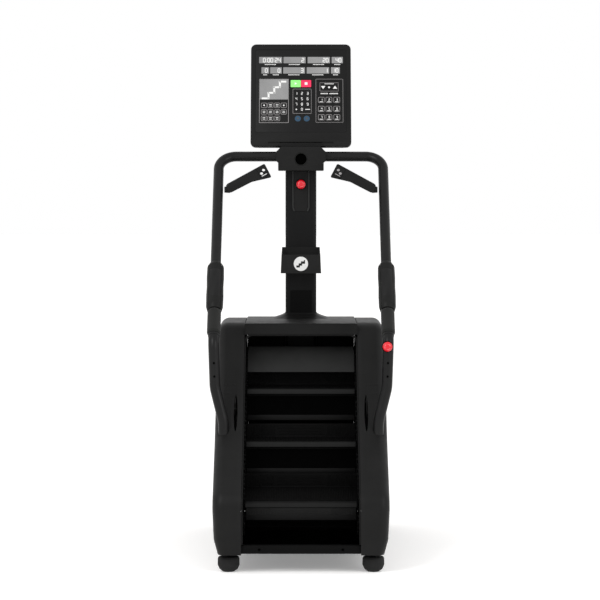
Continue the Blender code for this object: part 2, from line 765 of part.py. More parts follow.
def frame():
    """The welded side frames and the bars between them."""
    tail = -HALF_LENGTH + FRAME_MARGIN
    corners = [(tail, FRAME_BOTTOM), (WHEEL_Y - WHEEL_RADIUS - FRAME_CORNER, FRAME_BOTTOM),
               (WHEEL_Y - WHEEL_LUG, WHEEL_Z - AXLE_RADIUS - FRAME_CORNER),
               (WHEEL_Y + WHEEL_LUG, WHEEL_Z - AXLE_RADIUS - FRAME_CORNER),
               (WHEEL_Y + WHEEL_LUG, FRAME_FRONT_Z), (FRAME_CREST_Y, FRAME_TOP), (FRAME_BACK_Y, FRAME_TOP),
               (tail, FRAME_TAIL_Z)]
    outline = fillet(corners, FRAME_CORNER, 2)
    holes = [circle((WHEEL_Y, WHEEL_Z), AXLE_RADIUS + GAP, 12),
             circle(LOWER_AXIS, SHAFT_RADIUS + GAP, 16), circle(UPPER_AXIS, SHAFT_RADIUS + GAP, 16),
             circle((BRAKE_Y, BRAKE_Z), SHAFT_RADIUS + GAP, 16)]
    for where, radius in FRAME_HOLES:
        holes.append(circle(where, radius))
    for side, sign in sides():
        prism(f"side_frame_{side}", [outline] + holes, FRAME_THICKNESS, (sign * FRAME_X, 0.0, 0.0),
              finish="paint")
    reach = FRAME_X - FRAME_THICKNESS / 2 - GAP
    rear_y = -HALF_LENGTH + REAR_BAR_IN
    front_y = HALF_LENGTH - FRONT_BAR_IN
    cross_half = MAST_DEPTH / 2
    bars = (("rear_crossbar", rear_y, rear_y + BAR_DEPTH, REAR_BAR_Z - BAR_HEIGHT / 2,
             REAR_BAR_Z + BAR_HEIGHT / 2),
            ("front_crossbar", front_y - BAR_DEPTH, front_y, REAR_BAR_Z - BAR_HEIGHT / 2,
             REAR_BAR_Z + BAR_HEIGHT / 2),
            ("mast_crossmember", MAST_Y - cross_half, MAST_Y + cross_half, MAST_FOOT_Z - MAST_DEPTH / 2,
             MAST_FOOT_Z - GAP))
    for name, front, back, low, high in bars:
        box(name, (-reach, front, low), (reach, back, high), finish="paint", edge=BAR_EDGE)


def feet_and_wheels():
    """The levelling feet and the transport wheels on their axle."""
    top = FRAME_BOTTOM - GAP
    head = BODY_BOTTOM - SEAT_GAP
    profile = [(0.0, top), (FOOT_STEM, top), (FOOT_STEM, head), (FOOT_RADIUS * 0.96, head),
               (FOOT_RADIUS, head * 0.86), (FOOT_RADIUS, head * 0.44), (FOOT_RADIUS * 0.84, head * 0.18),
               (FOOT_RADIUS * FOOT_PAD_SHARE, 0.0), (0.0, 0.0)]
    for side, sign in sides():
        for end, y in (("rear", REAR_FOOT_IN - HALF_LENGTH), ("front", HALF_LENGTH - FRONT_FOOT_IN)):
            turned(f"foot_{end}_{side}", profile, (sign * FRAME_X, y, 0.0), finish="rubber")
        half = WHEEL_WIDTH / 2
        bore = AXLE_RADIUS + RUNNING_GAP
        rim = [(bore, half), (WHEEL_RADIUS * 0.9, half), (WHEEL_RADIUS, half * 0.7),
               (WHEEL_RADIUS, -half * 0.7), (WHEEL_RADIUS * 0.9, -half), (bore, -half)]
        turned(f"transport_wheel_{side}", rim, (sign * WHEEL_X, WHEEL_Y, WHEEL_Z),
               AXIS_TURN["X"], finish="rubber", sides=20)
    length = 2 * (FRAME_X + FRAME_THICKNESS / 2)
    cylinder("transport_axle", (0.0, WHEEL_Y, WHEEL_Z), AXLE_RADIUS, length, sides=12)


def mast():
    """The mast, its base collar and the console hub."""
    half_x = MAST_WIDTH / 2
    half_y = MAST_DEPTH / 2
    outer = fillet([(-half_x, -half_y), (half_x, -half_y), (half_x, half_y), (-half_x, half_y)],
                   MAST_CORNER, 4)
    in_x = half_x - MAST_WALL
    in_y = half_y - MAST_WALL
    inner = fillet([(-in_x, -in_y), (in_x, -in_y), (in_x, in_y), (-in_x, in_y)],
                   MAST_CORNER - MAST_WALL, 4)
    height = HUB_BOTTOM - GAP - MAST_FOOT_Z
    prism("mast", [outer, inner], height, (0.0, MAST_Y, MAST_FOOT_Z + height / 2), "XY", finish="paint")
    collar = [(-half_x - SEAT_GAP / 2, -half_y - SEAT_GAP / 2), (half_x + SEAT_GAP / 2, -half_y - SEAT_GAP / 2),
              (half_x + SEAT_GAP / 2, half_y + SEAT_GAP / 2), (-half_x - SEAT_GAP / 2, half_y + SEAT_GAP / 2)]
    front_y = -half_y - COLLAR_FLARE
    back_y = half_y + COLLAR_FLARE * COLLAR_BACK_SHARE
    outside = [(-half_x - COLLAR_FLARE, front_y), (half_x + COLLAR_FLARE, front_y),
               (half_x + COLLAR_FLARE, back_y), (-half_x - COLLAR_FLARE, back_y)]
    low = BODY_TOP + GAP
    ring = prism("mast_collar", [fillet(outside, 0.02, 4), fillet(collar, MAST_CORNER, 4)], COLLAR_HEIGHT,
                 (0.0, MAST_Y, low + COLLAR_HEIGHT / 2), "XY")
    bevel(ring, 0.012, 2, 60.0)
    half_side = [(HUB_NECK_HALF_WIDTH, HUB_BOTTOM), (HUB_NECK_HALF_WIDTH, HUB_TOP - HUB_NECK_DROP),
                 (HUB_HALF_WIDTH, HUB_TOP - HUB_SIDE_DROP), (HUB_HALF_WIDTH, HUB_TOP - HUB_SHOULDER_DROP),
                 (HUB_TOP_HALF_WIDTH, HUB_TOP)]
    slope = half_side + [(-x, z) for x, z in reversed(half_side)]
    depth = HUB_BACK_Y - HUB_FRONT_Y
    hub = prism("console_hub", [fillet(slope, HUB_CORNER, 2)], depth, (0.0, (HUB_FRONT_Y + HUB_BACK_Y) / 2, 0.0),
                "XZ")
    tunnel = cylinder("hub_tunnel", (0.0, RAIL_Y, RAIL_Z), TUBE_RADIUS + GAP, 0.4, "X", CUTTERS)
    boolean(hub, tunnel)
    port = cylinder("hub_port", (0.0, HUB_FRONT_Y, PORT_Z), PORT_RADIUS, 2 * PORT_DEPTH, "Y", CUTTERS)
    boolean(hub, port)


def rail_line(height):
    """The point on a side rail's sloping centre line at a height, in the side view."""
    share = (RAIL_Z - height) / (RAIL_Z - POST_BEND_Z)
    return (RAIL_Y + (POST_Y - RAIL_Y) * share, height)


def handrails():
    """The handrail's two halves, the lower posts, the pulse grips and the foam sleeves."""
    slope = Vector((0.0, RAIL_Y - POST_Y, RAIL_Z - POST_BEND_Z)).normalized()
    lean = math.atan2(slope.y, slope.z)
    for side, sign in sides():
        x = sign * RAIL_X
        joint_y, joint_z = rail_line(RAIL_JOINT_Z)
        joint = Vector((x, joint_y, joint_z))
        corners = [(sign * 0.06, RAIL_Y, RAIL_Z), (x, RAIL_Y, RAIL_Z), tuple(joint + slope * GAP)]
        tube(f"handrail_{side}", fillet(corners, [0.0, RAIL_BEND, 0.0], 8, False), TUBE_RADIUS)
        end_x = sign * POST_END_X
        post_x = sign * POST_X
        corners = [tuple(joint), (x, POST_Y, POST_BEND_Z), (post_x, POST_Y, POST_JOG_TOP),
                   (end_x, POST_END_Y, POST_JOG_BOTTOM), (end_x, POST_END_Y, POST_END_Z)]
        tube(f"lower_post_{side}", fillet(corners, [0.0, POST_BEND, 0.15, 0.15, 0.0], 5, False),
             TUBE_RADIUS)
        for name, top, bottom, radius, finish in (
                (f"pulse_grip_{side}", GRIP_TOP_Z, GRIP_BOTTOM_Z + 0.002, GRIP_RADIUS, "plastic"),
                (f"foam_sleeve_{side}", GRIP_BOTTOM_Z, SLEEVE_BOTTOM_Z, SLEEVE_RADIUS, "foam")):
            half = (top - bottom) / slope.z / 2
            middle_y, middle_z = rail_line((top + bottom) / 2)
            bore = TUBE_RADIUS + GAP
            profile = [(bore, half), (radius * 0.82, half), (radius, half - 0.012),
                       (radius, -half + 0.012), (radius * 0.82, -half), (bore, -half)]
            turned(name, profile, (x, middle_y, middle_z), (-lean, 0.0, 0.0), finish=finish)


def stop_button(name, middle_x, face_y, height, depth_room):
    """A collar on a face and a red mushroom head that is pushed towards +Y."""
    turn = AXIS_TURN["Y"]
    bore = STOP_STEM + RUNNING_GAP
    lip = STOP_COLLAR_DEPTH
    collar = [(bore, lip), (STOP_COLLAR, lip), (STOP_COLLAR, 0.003), (STOP_COLLAR * 0.9, 0.0), (bore, 0.0)]
    turned(f"{name}_collar", collar, (middle_x, face_y - GAP - lip, height), turn)
    head_y = face_y - GAP - lip - STOP_TRAVEL_ROOM
    profile = [(0.0, lip + STOP_TRAVEL_ROOM - depth_room), (STOP_STEM, lip + STOP_TRAVEL_ROOM - depth_room),
               (STOP_STEM, 0.0), (STOP_RADIUS * 0.8, 0.0), (STOP_RADIUS, -STOP_HEAD * 0.35),
               (STOP_RADIUS * 0.93, -STOP_HEAD * 0.7), (STOP_RADIUS * 0.6, -STOP_HEAD * 0.93),
               (0.0, -STOP_HEAD)]
    turned(f"{name}_button", profile, (middle_x, head_y, height), turn, finish="red")


def stop_switches():
    """The stop switch on the mast with its housing plate, and the one on the right post."""
    mast_face = MAST_Y - MAST_DEPTH / 2
    low = HUB_BOTTOM - HOUSING_HEIGHT
    high = HUB_BOTTOM - SEAT_GAP
    half = HOUSING_WIDTH / 2
    corner = HOUSING_CORNER
    outline = fillet([(-half, low), (half, low), (half, high), (-half, high)], [corner, corner, 0.0, 0.0], ROUND)
    plate = prism("stop_housing", [outline], HOUSING_PLATE,
                  (0.0, mast_face - GAP - HOUSING_PLATE / 2, 0.0), "XZ")
    rib = HOUSING_RIB
    corner -= rib
    pocket = fillet([(-half + rib, low + rib), (half - rib, low + rib), (half - rib, high + rib),
                     (-half + rib, high + rib)], [corner, corner, 0.0, 0.0], ROUND)
    cut = prism("stop_pocket", [pocket], HOUSING_PLATE, (0.0, mast_face - HOUSING_PLATE, 0.0), "XZ", CUTTERS)
    boolean(plate, cut)
    floor_y = mast_face - HOUSING_PLATE / 2
    stop_button("mast_stop", 0.0, floor_y, MAST_STOP_Z, STOP_TRAVEL_ROOM)
    stop_button("post_stop", POST_X, POST_Y - TUBE_RADIUS, POST_STOP_Z, STOP_TRAVEL_ROOM)


def holder():
    """The bottle and phone holder: an open trough with higher ears at its back."""
    back = MAST_Y - MAST_DEPTH / 2 - GAP
    front = back - HOLDER_DEPTH
    item = box("bottle_holder", (-HOLDER_HALF_WIDTH, front, HOLDER_BOTTOM),
               (HOLDER_HALF_WIDTH, back, HOLDER_TOP))
    wall = HOLDER_WALL
    pocket = box("holder_pocket", (-HOLDER_HALF_WIDTH + wall, front + wall, HOLDER_BOTTOM + wall),
                 (HOLDER_HALF_WIDTH - wall, back - wall, HOLDER_TOP + wall), CUTTERS)
    notch = box("holder_notch", (-HOLDER_HALF_WIDTH - wall, front - wall, HOLDER_FRONT_TOP),
                (HOLDER_HALF_WIDTH + wall, front + HOLDER_DEPTH * 0.5, HOLDER_TOP + wall), CUTTERS)
    boolean(item, pocket)
    boolean(item, notch)


def control_arms():
    """The two control arms on the side rails, each with a rocking key."""
    tip = Vector(ARM_KEY_CENTRE)
    along = Vector((-math.cos(ARM_SLOPE), math.sin(ARM_SLOPE)))
    across = Vector((-along.y, along.x))
    arm_y = rail_line(ARM_Z)[0]
    face = arm_y - ARM_THICKNESS / 2
    for side, sign in sides():
        shape = fillet([(sign * x, ARM_Z + z) for x, z in ARM_OUTLINE], ARM_RADII, ROUND)
        arm = prism(f"control_arm_{side}", [shape], ARM_THICKNESS, (0.0, arm_y, 0.0), "XZ", edge=0.004)
        start = RAIL_X - TUBE_RADIUS - GAP
        neck = cylinder(f"arm_neck_{side}", (sign * (start + ARM_NECK_X) / 2, arm_y, ARM_Z), ARM_NECK_RADIUS,
                        start - ARM_NECK_X, "X", CUTTERS, sides=16)
        boolean(arm, neck, "UNION")
        key_shape = []
        for u, v in ((-1, -1), (1, -1), (1, 1), (-1, 1)):
            corner = tip + along * u * ARM_KEY_WIDTH / 2 + across * v * ARM_KEY_HEIGHT / 2
            key_shape.append((sign * corner.x, corner.y))
        pocket_shape = []
        for u, v in ((-1, -1), (1, -1), (1, 1), (-1, 1)):
            corner = (tip + along * u * (ARM_KEY_WIDTH / 2 + RUNNING_GAP)
                      + across * v * (ARM_KEY_HEIGHT / 2 + RUNNING_GAP))
            pocket_shape.append((sign * corner.x, corner.y))
        pocket = prism(f"arm_pocket_{side}", [pocket_shape], 2 * ARM_KEY_POCKET, (0.0, face, 0.0), "XZ",
                       CUTTERS)
        boolean(arm, pocket)
        key_y = face + ARM_KEY_POCKET - KEY_TRAVEL_ROOM - ARM_KEY_THICKNESS / 2
        prism(f"arm_key_{side}", [key_shape], ARM_KEY_THICKNESS, (0.0, key_y, 0.0), "XZ", edge=0.001)


def rectangle(width, low, high, corner, count=4):
    """A rounded rectangle, centred sideways."""
    half = width / 2
    return fillet([(-half, low), (half, low), (half, high), (-half, high)], corner, count)


def console():
    """The console: back housing, bezel, overlay and two keys, on a tilted empty."""
    tilt = place("console_tilt", None)
    low = TOTAL_HEIGHT - CONSOLE_LENGTH * math.cos(CONSOLE_TILT)
    tilt.location = (0.0, CONSOLE_Y, low)
    tilt.rotation_euler = (-CONSOLE_TILT, 0.0, 0.0)
    bpy.context.view_layer.update()
    made = []
    bezel = prism("console_bezel", [rectangle(CONSOLE_WIDTH, 0.0, CONSOLE_LENGTH, CONSOLE_CORNER, 5)],
                  BEZEL_THICKNESS, (0.0, BEZEL_THICKNESS / 2, 0.0), "XZ")
    bevel(bezel, 0.003, 2, 60.0)
    overlay_high = OVERLAY_BOTTOM + OVERLAY_HEIGHT
    seat = prism("overlay_seat", [rectangle(OVERLAY_WIDTH + 2 * GAP, OVERLAY_BOTTOM - GAP,
                                            overlay_high + GAP, 0.008)],
                 2 * (OVERLAY_THICKNESS + GAP), (0.0, 0.0, 0.0), "XZ", CUTTERS)
    boolean(bezel, seat)
    window = prism("key_well", [rectangle(2 * KEY_WIDTH + KEY_GAP + 2 * RUNNING_GAP, KEY_UP - RUNNING_GAP,
                                          KEY_UP + KEY_HEIGHT + RUNNING_GAP, 0.002)],
                   2 * (OVERLAY_THICKNESS + KEY_THICKNESS), (0.0, 0.0, 0.0), "XZ", CUTTERS)
    boolean(bezel, window)
    ledge = box("ledge_groove", (-0.145, -0.01, 0.012), (0.145, 0.004, 0.02), CUTTERS)
    boolean(bezel, ledge)
    overlay = prism("console_overlay", [rectangle(OVERLAY_WIDTH, OVERLAY_BOTTOM, overlay_high, 0.008)],
                    OVERLAY_THICKNESS, (0.0, OVERLAY_THICKNESS / 2, 0.0), "XZ", finish="screen")
    opening = prism("key_window", [rectangle(2 * KEY_WIDTH + KEY_GAP + 2 * RUNNING_GAP,
                                             KEY_UP - RUNNING_GAP, KEY_UP + KEY_HEIGHT + RUNNING_GAP,
                                             0.002)], 4 * OVERLAY_THICKNESS, (0.0, 0.0, 0.0), "XZ", CUTTERS)
    boolean(overlay, opening)
    housing_width = CONSOLE_WIDTH - 2 * HOUSING_MARGIN
    housing = prism("console_housing", [rectangle(housing_width, HOUSING_MARGIN,
                                                  CONSOLE_LENGTH - HOUSING_MARGIN, CONSOLE_CORNER, 5)],
                    HOUSING_DEPTH, (0.0, BEZEL_THICKNESS + GAP + HOUSING_DEPTH / 2, 0.0), "XZ")
    bevel(housing, 0.012, 2, 60.0)
    hollow = prism("housing_hollow", [rectangle(housing_width - 0.03, HOUSING_MARGIN + 0.015,
                                                CONSOLE_LENGTH - HOUSING_MARGIN - 0.015, 0.012)],
                   HOUSING_DEPTH, (0.0, BEZEL_THICKNESS + HOUSING_DEPTH / 2 - SHELL, 0.0), "XZ", CUTTERS)
    boolean(housing, hollow)
    above = box("above_hub", (-CONSOLE_WIDTH, -HOUSING_DEPTH, -SEAT_GAP / 2),
                (CONSOLE_WIDTH, CONSOLE_WIDTH, CONSOLE_WIDTH), CUTTERS)
    boolean(bpy.data.objects["console_hub"], above)
    made += [bezel, seat, window, ledge, overlay, opening, housing, hollow, above]
    for name, offset, finish in (("start_key", -1, "green"), ("stop_key", 1, "red")):
        middle = offset * (KEY_WIDTH + KEY_GAP) / 2
        shape = [(middle + x, z) for x, z in rectangle(KEY_WIDTH, KEY_UP, KEY_UP + KEY_HEIGHT, 0.003)]
        key = prism(name, [shape], KEY_THICKNESS, (0.0, KEY_THICKNESS / 2 - 0.001, 0.0), "XZ", finish=finish)
        made.append(key)
    for item in made:
        item.parent = tilt
    return tilt


def drive():
    """The drive inside the shrouds: shafts, chains, pulley, belt, brake and controller."""
    sprocket_shaft("upper_sprocket_shaft", UPPER_AXIS)
    sprocket_shaft("lower_sprocket_shaft", LOWER_AXIS)
    chains()
    brake = Vector((BRAKE_Y, BRAKE_Z))
    small = PULLEY_RADIUS / BRAKE_RATIO
    half = PULLEY_WIDTH / 2
    outer = FRAME_X + FRAME_THICKNESS / 2 + SEAT_GAP + GAP
    hub_edge = outer - PULLEY_X
    rim = [(0.0, half), (PULLEY_RADIUS, half), (PULLEY_RADIUS, -half), (PULLEY_HUB_RADIUS, -half),
           (PULLEY_HUB_RADIUS, hub_edge),
           (0.0, hub_edge)]
    turned("drive_pulley", rim, (PULLEY_X, UPPER_AXIS.x, UPPER_AXIS.y), AXIS_TURN["X"], finish="plastic",
           sides=32)
    near = -FLYWHEEL_OFFSET
    far = near - FLYWHEEL_WIDTH
    rotor = [(0.0, half), (small, half), (small, -half), (SHAFT_RADIUS, -half), (SHAFT_RADIUS, near),
             (FLYWHEEL_RADIUS, near), (FLYWHEEL_RADIUS, far), (ROTOR_HUB_RADIUS, far),
             (ROTOR_HUB_RADIUS, -ROTOR_END), (0.0, -ROTOR_END)]
    turned("brake_rotor", rotor, (PULLEY_X, BRAKE_Y, BRAKE_Z), AXIS_TURN["X"], finish="steel", sides=32)
    loops = [racetrack(UPPER_AXIS, PULLEY_RADIUS + GAP + BELT_THICKNESS, brake, small + GAP + BELT_THICKNESS),
             racetrack(UPPER_AXIS, PULLEY_RADIUS + GAP, brake, small + GAP)]
    prism("drive_belt", loops, PULLEY_WIDTH - 0.002, (PULLEY_X, 0.0, 0.0), finish="rubber")
    box("controller_box", CONTROLLER_LOW, CONTROLLER_HIGH, edge=SHELL)


frame()
staircase()
drive()
shrouds()
skirts()
covers()
feet_and_wheels()
mast()
handrails()
stop_switches()
holder()
control_arms()
console()
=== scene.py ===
"""Looks of the stair climber: finer pieces, finishes, print, light and camera round the CAD frame."""
import json
import math

import bmesh
import bpy
from mathutils import Matrix, Vector


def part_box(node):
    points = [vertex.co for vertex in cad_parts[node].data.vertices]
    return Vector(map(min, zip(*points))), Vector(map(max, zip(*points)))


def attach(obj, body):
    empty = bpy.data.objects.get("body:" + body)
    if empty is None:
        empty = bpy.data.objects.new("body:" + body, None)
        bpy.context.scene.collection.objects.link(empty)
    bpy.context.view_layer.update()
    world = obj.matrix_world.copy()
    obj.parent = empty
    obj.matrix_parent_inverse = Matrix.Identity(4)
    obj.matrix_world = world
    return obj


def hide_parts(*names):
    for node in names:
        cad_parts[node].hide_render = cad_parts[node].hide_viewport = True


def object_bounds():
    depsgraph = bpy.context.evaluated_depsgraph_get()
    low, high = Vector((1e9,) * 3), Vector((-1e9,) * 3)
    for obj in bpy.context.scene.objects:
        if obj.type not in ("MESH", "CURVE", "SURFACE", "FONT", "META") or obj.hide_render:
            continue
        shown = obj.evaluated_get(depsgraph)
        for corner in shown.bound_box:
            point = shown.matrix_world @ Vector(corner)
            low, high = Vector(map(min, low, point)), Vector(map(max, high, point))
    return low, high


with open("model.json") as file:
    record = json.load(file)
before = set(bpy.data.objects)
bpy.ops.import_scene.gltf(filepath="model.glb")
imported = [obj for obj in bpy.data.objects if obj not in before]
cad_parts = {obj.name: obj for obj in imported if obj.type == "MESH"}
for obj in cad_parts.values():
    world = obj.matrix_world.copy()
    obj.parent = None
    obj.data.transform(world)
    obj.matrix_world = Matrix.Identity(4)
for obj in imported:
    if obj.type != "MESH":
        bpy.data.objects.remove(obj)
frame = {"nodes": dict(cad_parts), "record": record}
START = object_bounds()
BODY_OF = {node: body for body, nodes in frame["record"]["behaviour"]["bodies"].items() for node in nodes}
SLOT_OF = {part["node"]: part["material_slot"] for part in frame["record"]["subparts"]}
SIDES = (("left", -1.0), ("right", 1.0))


def box_of(node):
    """A CAD node's lowest and highest corner, and its middle."""
    low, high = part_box(node)
    return low, high, (low + high) / 2


# ---------------------------------------------------------------- finishes
def finish(name, base, rough, spread=0.08, grain=900.0, depth=0.00006, metal=0.0, specular=0.3, mottle=0.25,
        wear=0.0, coat=0.0, stretch=(1.0, 1.0, 1.0), sheen=0.0, glow=0.0):
    """A procedural material: grain, bump, uneven roughness and colour, lighter worn edges, and an optional
    painted glow.
    """
    made = bpy.data.materials.new(name)
    made.use_nodes = True
    nodes = made.node_tree.nodes
    links = made.node_tree.links
    shader = nodes["Principled BSDF"]
    shader.inputs["Metallic"].default_value = metal
    shader.inputs["Specular IOR Level"].default_value = specular
    shader.inputs["Coat Weight"].default_value = coat
    shader.inputs["Coat Roughness"].default_value = 0.06
    shader.inputs["Sheen Weight"].default_value = sheen
    where = nodes.new("ShaderNodeTexCoord")
    spread_out = nodes.new("ShaderNodeMapping")
    spread_out.inputs["Scale"].default_value = stretch
    links.new(where.outputs["Object"], spread_out.inputs["Vector"])

    def noise(scale, detail, roughness=0.5):
        found = nodes.new("ShaderNodeTexNoise")
        found.inputs["Scale"].default_value = scale
        found.inputs["Detail"].default_value = detail
        found.inputs["Roughness"].default_value = roughness
        links.new(spread_out.outputs["Vector"], found.inputs["Vector"])
        return found.outputs["Fac"]

    def ranged(value, low, high):
        found = nodes.new("ShaderNodeMapRange")
        found.inputs["From Min"].default_value = 0.25
        found.inputs["From Max"].default_value = 0.75
        found.inputs["To Min"].default_value = low
        found.inputs["To Max"].default_value = high
        links.new(value, found.inputs["Value"])
        return found.outputs["Result"]

    def tinted(factor, first, second):
        found = nodes.new("ShaderNodeMix")
        found.data_type = "RGBA"
        found.inputs["A"].default_value = (*first, 1.0)
        found.inputs["B"].default_value = (*second, 1.0)
        links.new(factor, found.inputs["Factor"])
        return found

    broad = noise(7.0, 6.0)
    smudge = noise(31.0, 4.0, 0.6)
    fine = noise(grain, 2.0)
    dark = tuple(channel * (1.0 - mottle) for channel in base)
    light = tuple(min(channel * (1.0 + mottle), 1.0) for channel in base)
    colour = tinted(ranged(broad, 0.0, 1.0), dark, light).outputs["Result"]
    if wear > 0.0:
        shape = nodes.new("ShaderNodeNewGeometry")
        edge = nodes.new("ShaderNodeMapRange")
        edge.inputs["From Min"].default_value = 0.52
        edge.inputs["From Max"].default_value = 0.62
        edge.inputs["To Max"].default_value = wear
        links.new(shape.outputs["Pointiness"], edge.inputs["Value"])
        patchy = nodes.new("ShaderNodeMath")
        patchy.operation = "MULTIPLY"
        links.new(edge.outputs["Result"], patchy.inputs[0])
        links.new(smudge, patchy.inputs[1])
        worn = tuple(min(channel * 2.5 + 0.02, 1.0) for channel in base)
        mixed = tinted(patchy.outputs["Value"], base, worn)
        links.new(colour, mixed.inputs["A"])
        colour = mixed.outputs["Result"]
    links.new(colour, shader.inputs["Base Color"])
    # glow sends the colour out as emission: painted light on parts that are no lamp
    if glow > 0.0:
        links.new(colour, shader.inputs["Emission Color"])
        shader.inputs["Emission Strength"].default_value = glow
    links.new(ranged(smudge, max(rough - spread, 0.02), min(rough + spread, 1.0)),
        shader.inputs["Roughness"])
    bump = nodes.new("ShaderNodeBump")
    bump.inputs["Strength"].default_value = 0.6
    bump.inputs["Distance"].default_value = depth
    links.new(fine, bump.inputs["Height"])
    links.new(bump.outputs["Normal"], shader.inputs["Normal"])
    return made


COATED = {"grain": 1400.0, "depth": 0.00005}
MOULDED = {"grain": 1100.0, "depth": 0.00008}
PRINTED = {"grain": 1500.0, "depth": 0.00001}
GLOSSY = {"spread": 0.06, "grain": 500.0}
LOOKS = {"painted_steel": finish("powder_coat", (0.0055, 0.0055, 0.0056), 0.36, **COATED, specular=0.16,
    wear=0.2),
    "mast_paint": finish("mast_powder_coat", (0.0036, 0.0037, 0.0038), 0.4, **COATED, specular=0.1,
    wear=0.15),
    # a darker copy of the powder coat: painted shade on the crossbar and inner frame under the body and in
    # the mast's recessed panel; also the shroud's fine joint line
    "painted_shade_steel": finish("powder_coat_painted_shade", (0.0016, 0.0016, 0.0016), 0.5, **COATED, specular=0.06,
    wear=0.1),
    "bare_steel": finish("machined_steel", (0.33, 0.33, 0.34), 0.32, grain=260.0, depth=0.00003, metal=1.0,
    stretch=(1.0, 6.0, 6.0), wear=0.3),
    "black_steel": finish("blackened_steel", (0.003, 0.003, 0.003), 0.5, grain=260.0, depth=0.00003,
    specular=0.1, wear=0.15),
    # the step plastic, far darker than the nose: painted shade of the treads and risers sunk between the
    # steps
    "step_casting": finish("tread_plastic_painted_shade", (0.0013, 0.0013, 0.0013), 0.55, **MOULDED, specular=0.07,
    wear=0.12),
    "nose": finish("nose_plastic", (0.0045, 0.0046, 0.0045), 0.46, **MOULDED, specular=0.13, wear=0.15),
    # a lighter copy of the black plastic: painted light on the top step's front panel, and painted
    # highlights on the ribs along the stop channel
    "painted_light_plastic": finish("painted_light_plastic", (0.0105, 0.0108, 0.0105), 0.46, **MOULDED, specular=0.25,
    wear=0.3),
    "riser_lip": finish("lip_plastic", (0.0032, 0.0032, 0.0032), 0.5, **MOULDED, specular=0.09, wear=0.15),
    "rubber": finish("rubber", (0.0095, 0.0095, 0.0095), 0.78, grain=700.0, depth=0.00012, specular=0.2,
    wear=0.2),
    "foam_grip": finish("foam", (0.0092, 0.0094, 0.0088), 0.9, grain=520.0, depth=0.0004, specular=0.15,
    sheen=0.1),
    "grip": finish("grip_plastic", (0.0058, 0.0059, 0.0055), 0.5, grain=800.0, depth=0.00015, specular=0.14,
    wear=0.2),
    "red_plastic": finish("red_plastic", (0.55, 0.003, 0.012), 0.32, **GLOSSY, depth=0.00002, mottle=0.08,
    specular=0.4, coat=0.25),
    "red_painted_highlight": finish("red_painted_highlight", (0.78, 0.2, 0.22), 0.5, **PRINTED, mottle=0.05),
    # the start and stop keys give off their own colour: a painted glow, they are no lamps
    "green_plastic": finish("green_plastic", (0.21, 0.68, 0.16), 0.42, **GLOSSY, depth=0.00003, mottle=0.06,
    glow=0.2),
    "red_key_painted_glow": finish("red_key_painted_glow", (0.62, 0.02, 0.075), 0.42, **GLOSSY, depth=0.00003, mottle=0.06, glow=0.2),
    "display": finish("overlay_film", (0.0045, 0.0045, 0.0045), 0.45, spread=0.08, grain=1500.0,
    depth=0.00002, specular=0.14, mottle=0.15),
    "black_plastic": finish("textured_plastic", (0.0046, 0.0046, 0.0045), 0.48, grain=1000.0, depth=0.00009,
    specular=0.14, wear=0.2),
    # near-black with almost no reflection: painted shade on the recessed risers, in the port's hollow and
    # on the sheet under the body; also used for small dark bolts and switch collars
    "painted_shade_black": finish("painted_shade_black_finish", (0.0003, 0.0003, 0.0003), 0.8, depth=0.00004, specular=0.02),
    "white_print": finish("white_print", (0.62, 0.62, 0.61), 0.5, **PRINTED, mottle=0.04),
    "grey_print": finish("grey_print", (0.24, 0.23, 0.23), 0.5, **PRINTED, mottle=0.08),
    "dim_print": finish("dim_print", (0.045, 0.045, 0.045), 0.5, **PRINTED, mottle=0.1),
    "blue_print": finish("blue_print", (0.012, 0.045, 0.085), 0.45, **PRINTED, mottle=0.1),
    "lcd": finish("lcd", (0.2, 0.2, 0.2), 0.35, grain=900.0, depth=0.00002, mottle=0.2),
    "sensor": finish("sensor_plate", (0.02, 0.02, 0.02), 0.35, grain=300.0, metal=0.9, depth=0.00003,
    stretch=(5.0, 1.0, 1.0)),
    }


# ---------------------------------------------------------------- shapes
def link(name, data):
    """An object in the scene."""
    made = bpy.data.objects.new(name, data)
    bpy.context.scene.collection.objects.link(made)
    return made


def smooth(item, angle=32.0):
    """Shades smooth up to an angle."""
    item.data.shade_smooth()
    item.data.set_sharp_from_angle(angle=math.radians(angle))
    return item


def from_bmesh(name, bm, angle=32.0):
    """An object of a bmesh."""
    data = bpy.data.meshes.new(name)
    bmesh.ops.recalc_face_normals(bm, faces=bm.faces)
    bm.to_mesh(data)
    bm.free()
    return smooth(link(name, data), angle)


def solid(item):
    """Turns a curve or a modified object into plain mesh."""
    bpy.context.view_layer.update()
    graph = bpy.context.evaluated_depsgraph_get()
    data = bpy.data.meshes.new_from_object(item.evaluated_get(graph))
    name, matrix = item.name, item.matrix_world.copy()
    bpy.data.objects.remove(item)
    made = link(name, data)
    made.matrix_world = matrix
    return smooth(made)


def fillet(points, radii, count=8, closed=True):
    """Rounds the corners of a path in a plane or in space."""
    path = [Vector(p) for p in points]
    if isinstance(radii, float):
        radii = [radii] * len(path)
    made = []
    for i, corner in enumerate(path):
        if radii[i] <= 0.0 or (not closed and i in (0, len(path) - 1)):
            made.append(corner)
            continue
        back = (path[i - 1] - corner).normalized()
        ahead = (path[(i + 1) % len(path)] - corner).normalized()
        half = back.angle(ahead) / 2
        reach = radii[i] / math.tan(half)
        centre = corner + (back + ahead).normalized() * (radii[i] / math.sin(half))
        first = corner + back * reach - centre
        last = corner + ahead * reach - centre
        sweep = first.angle(last)
        for k in range(count + 1):
            t = k / count
            made.append(centre + (math.sin((1 - t) * sweep) * first + math.sin(t * sweep) * last)
                / math.sin(sweep))
    return [tuple(p) for p in made]


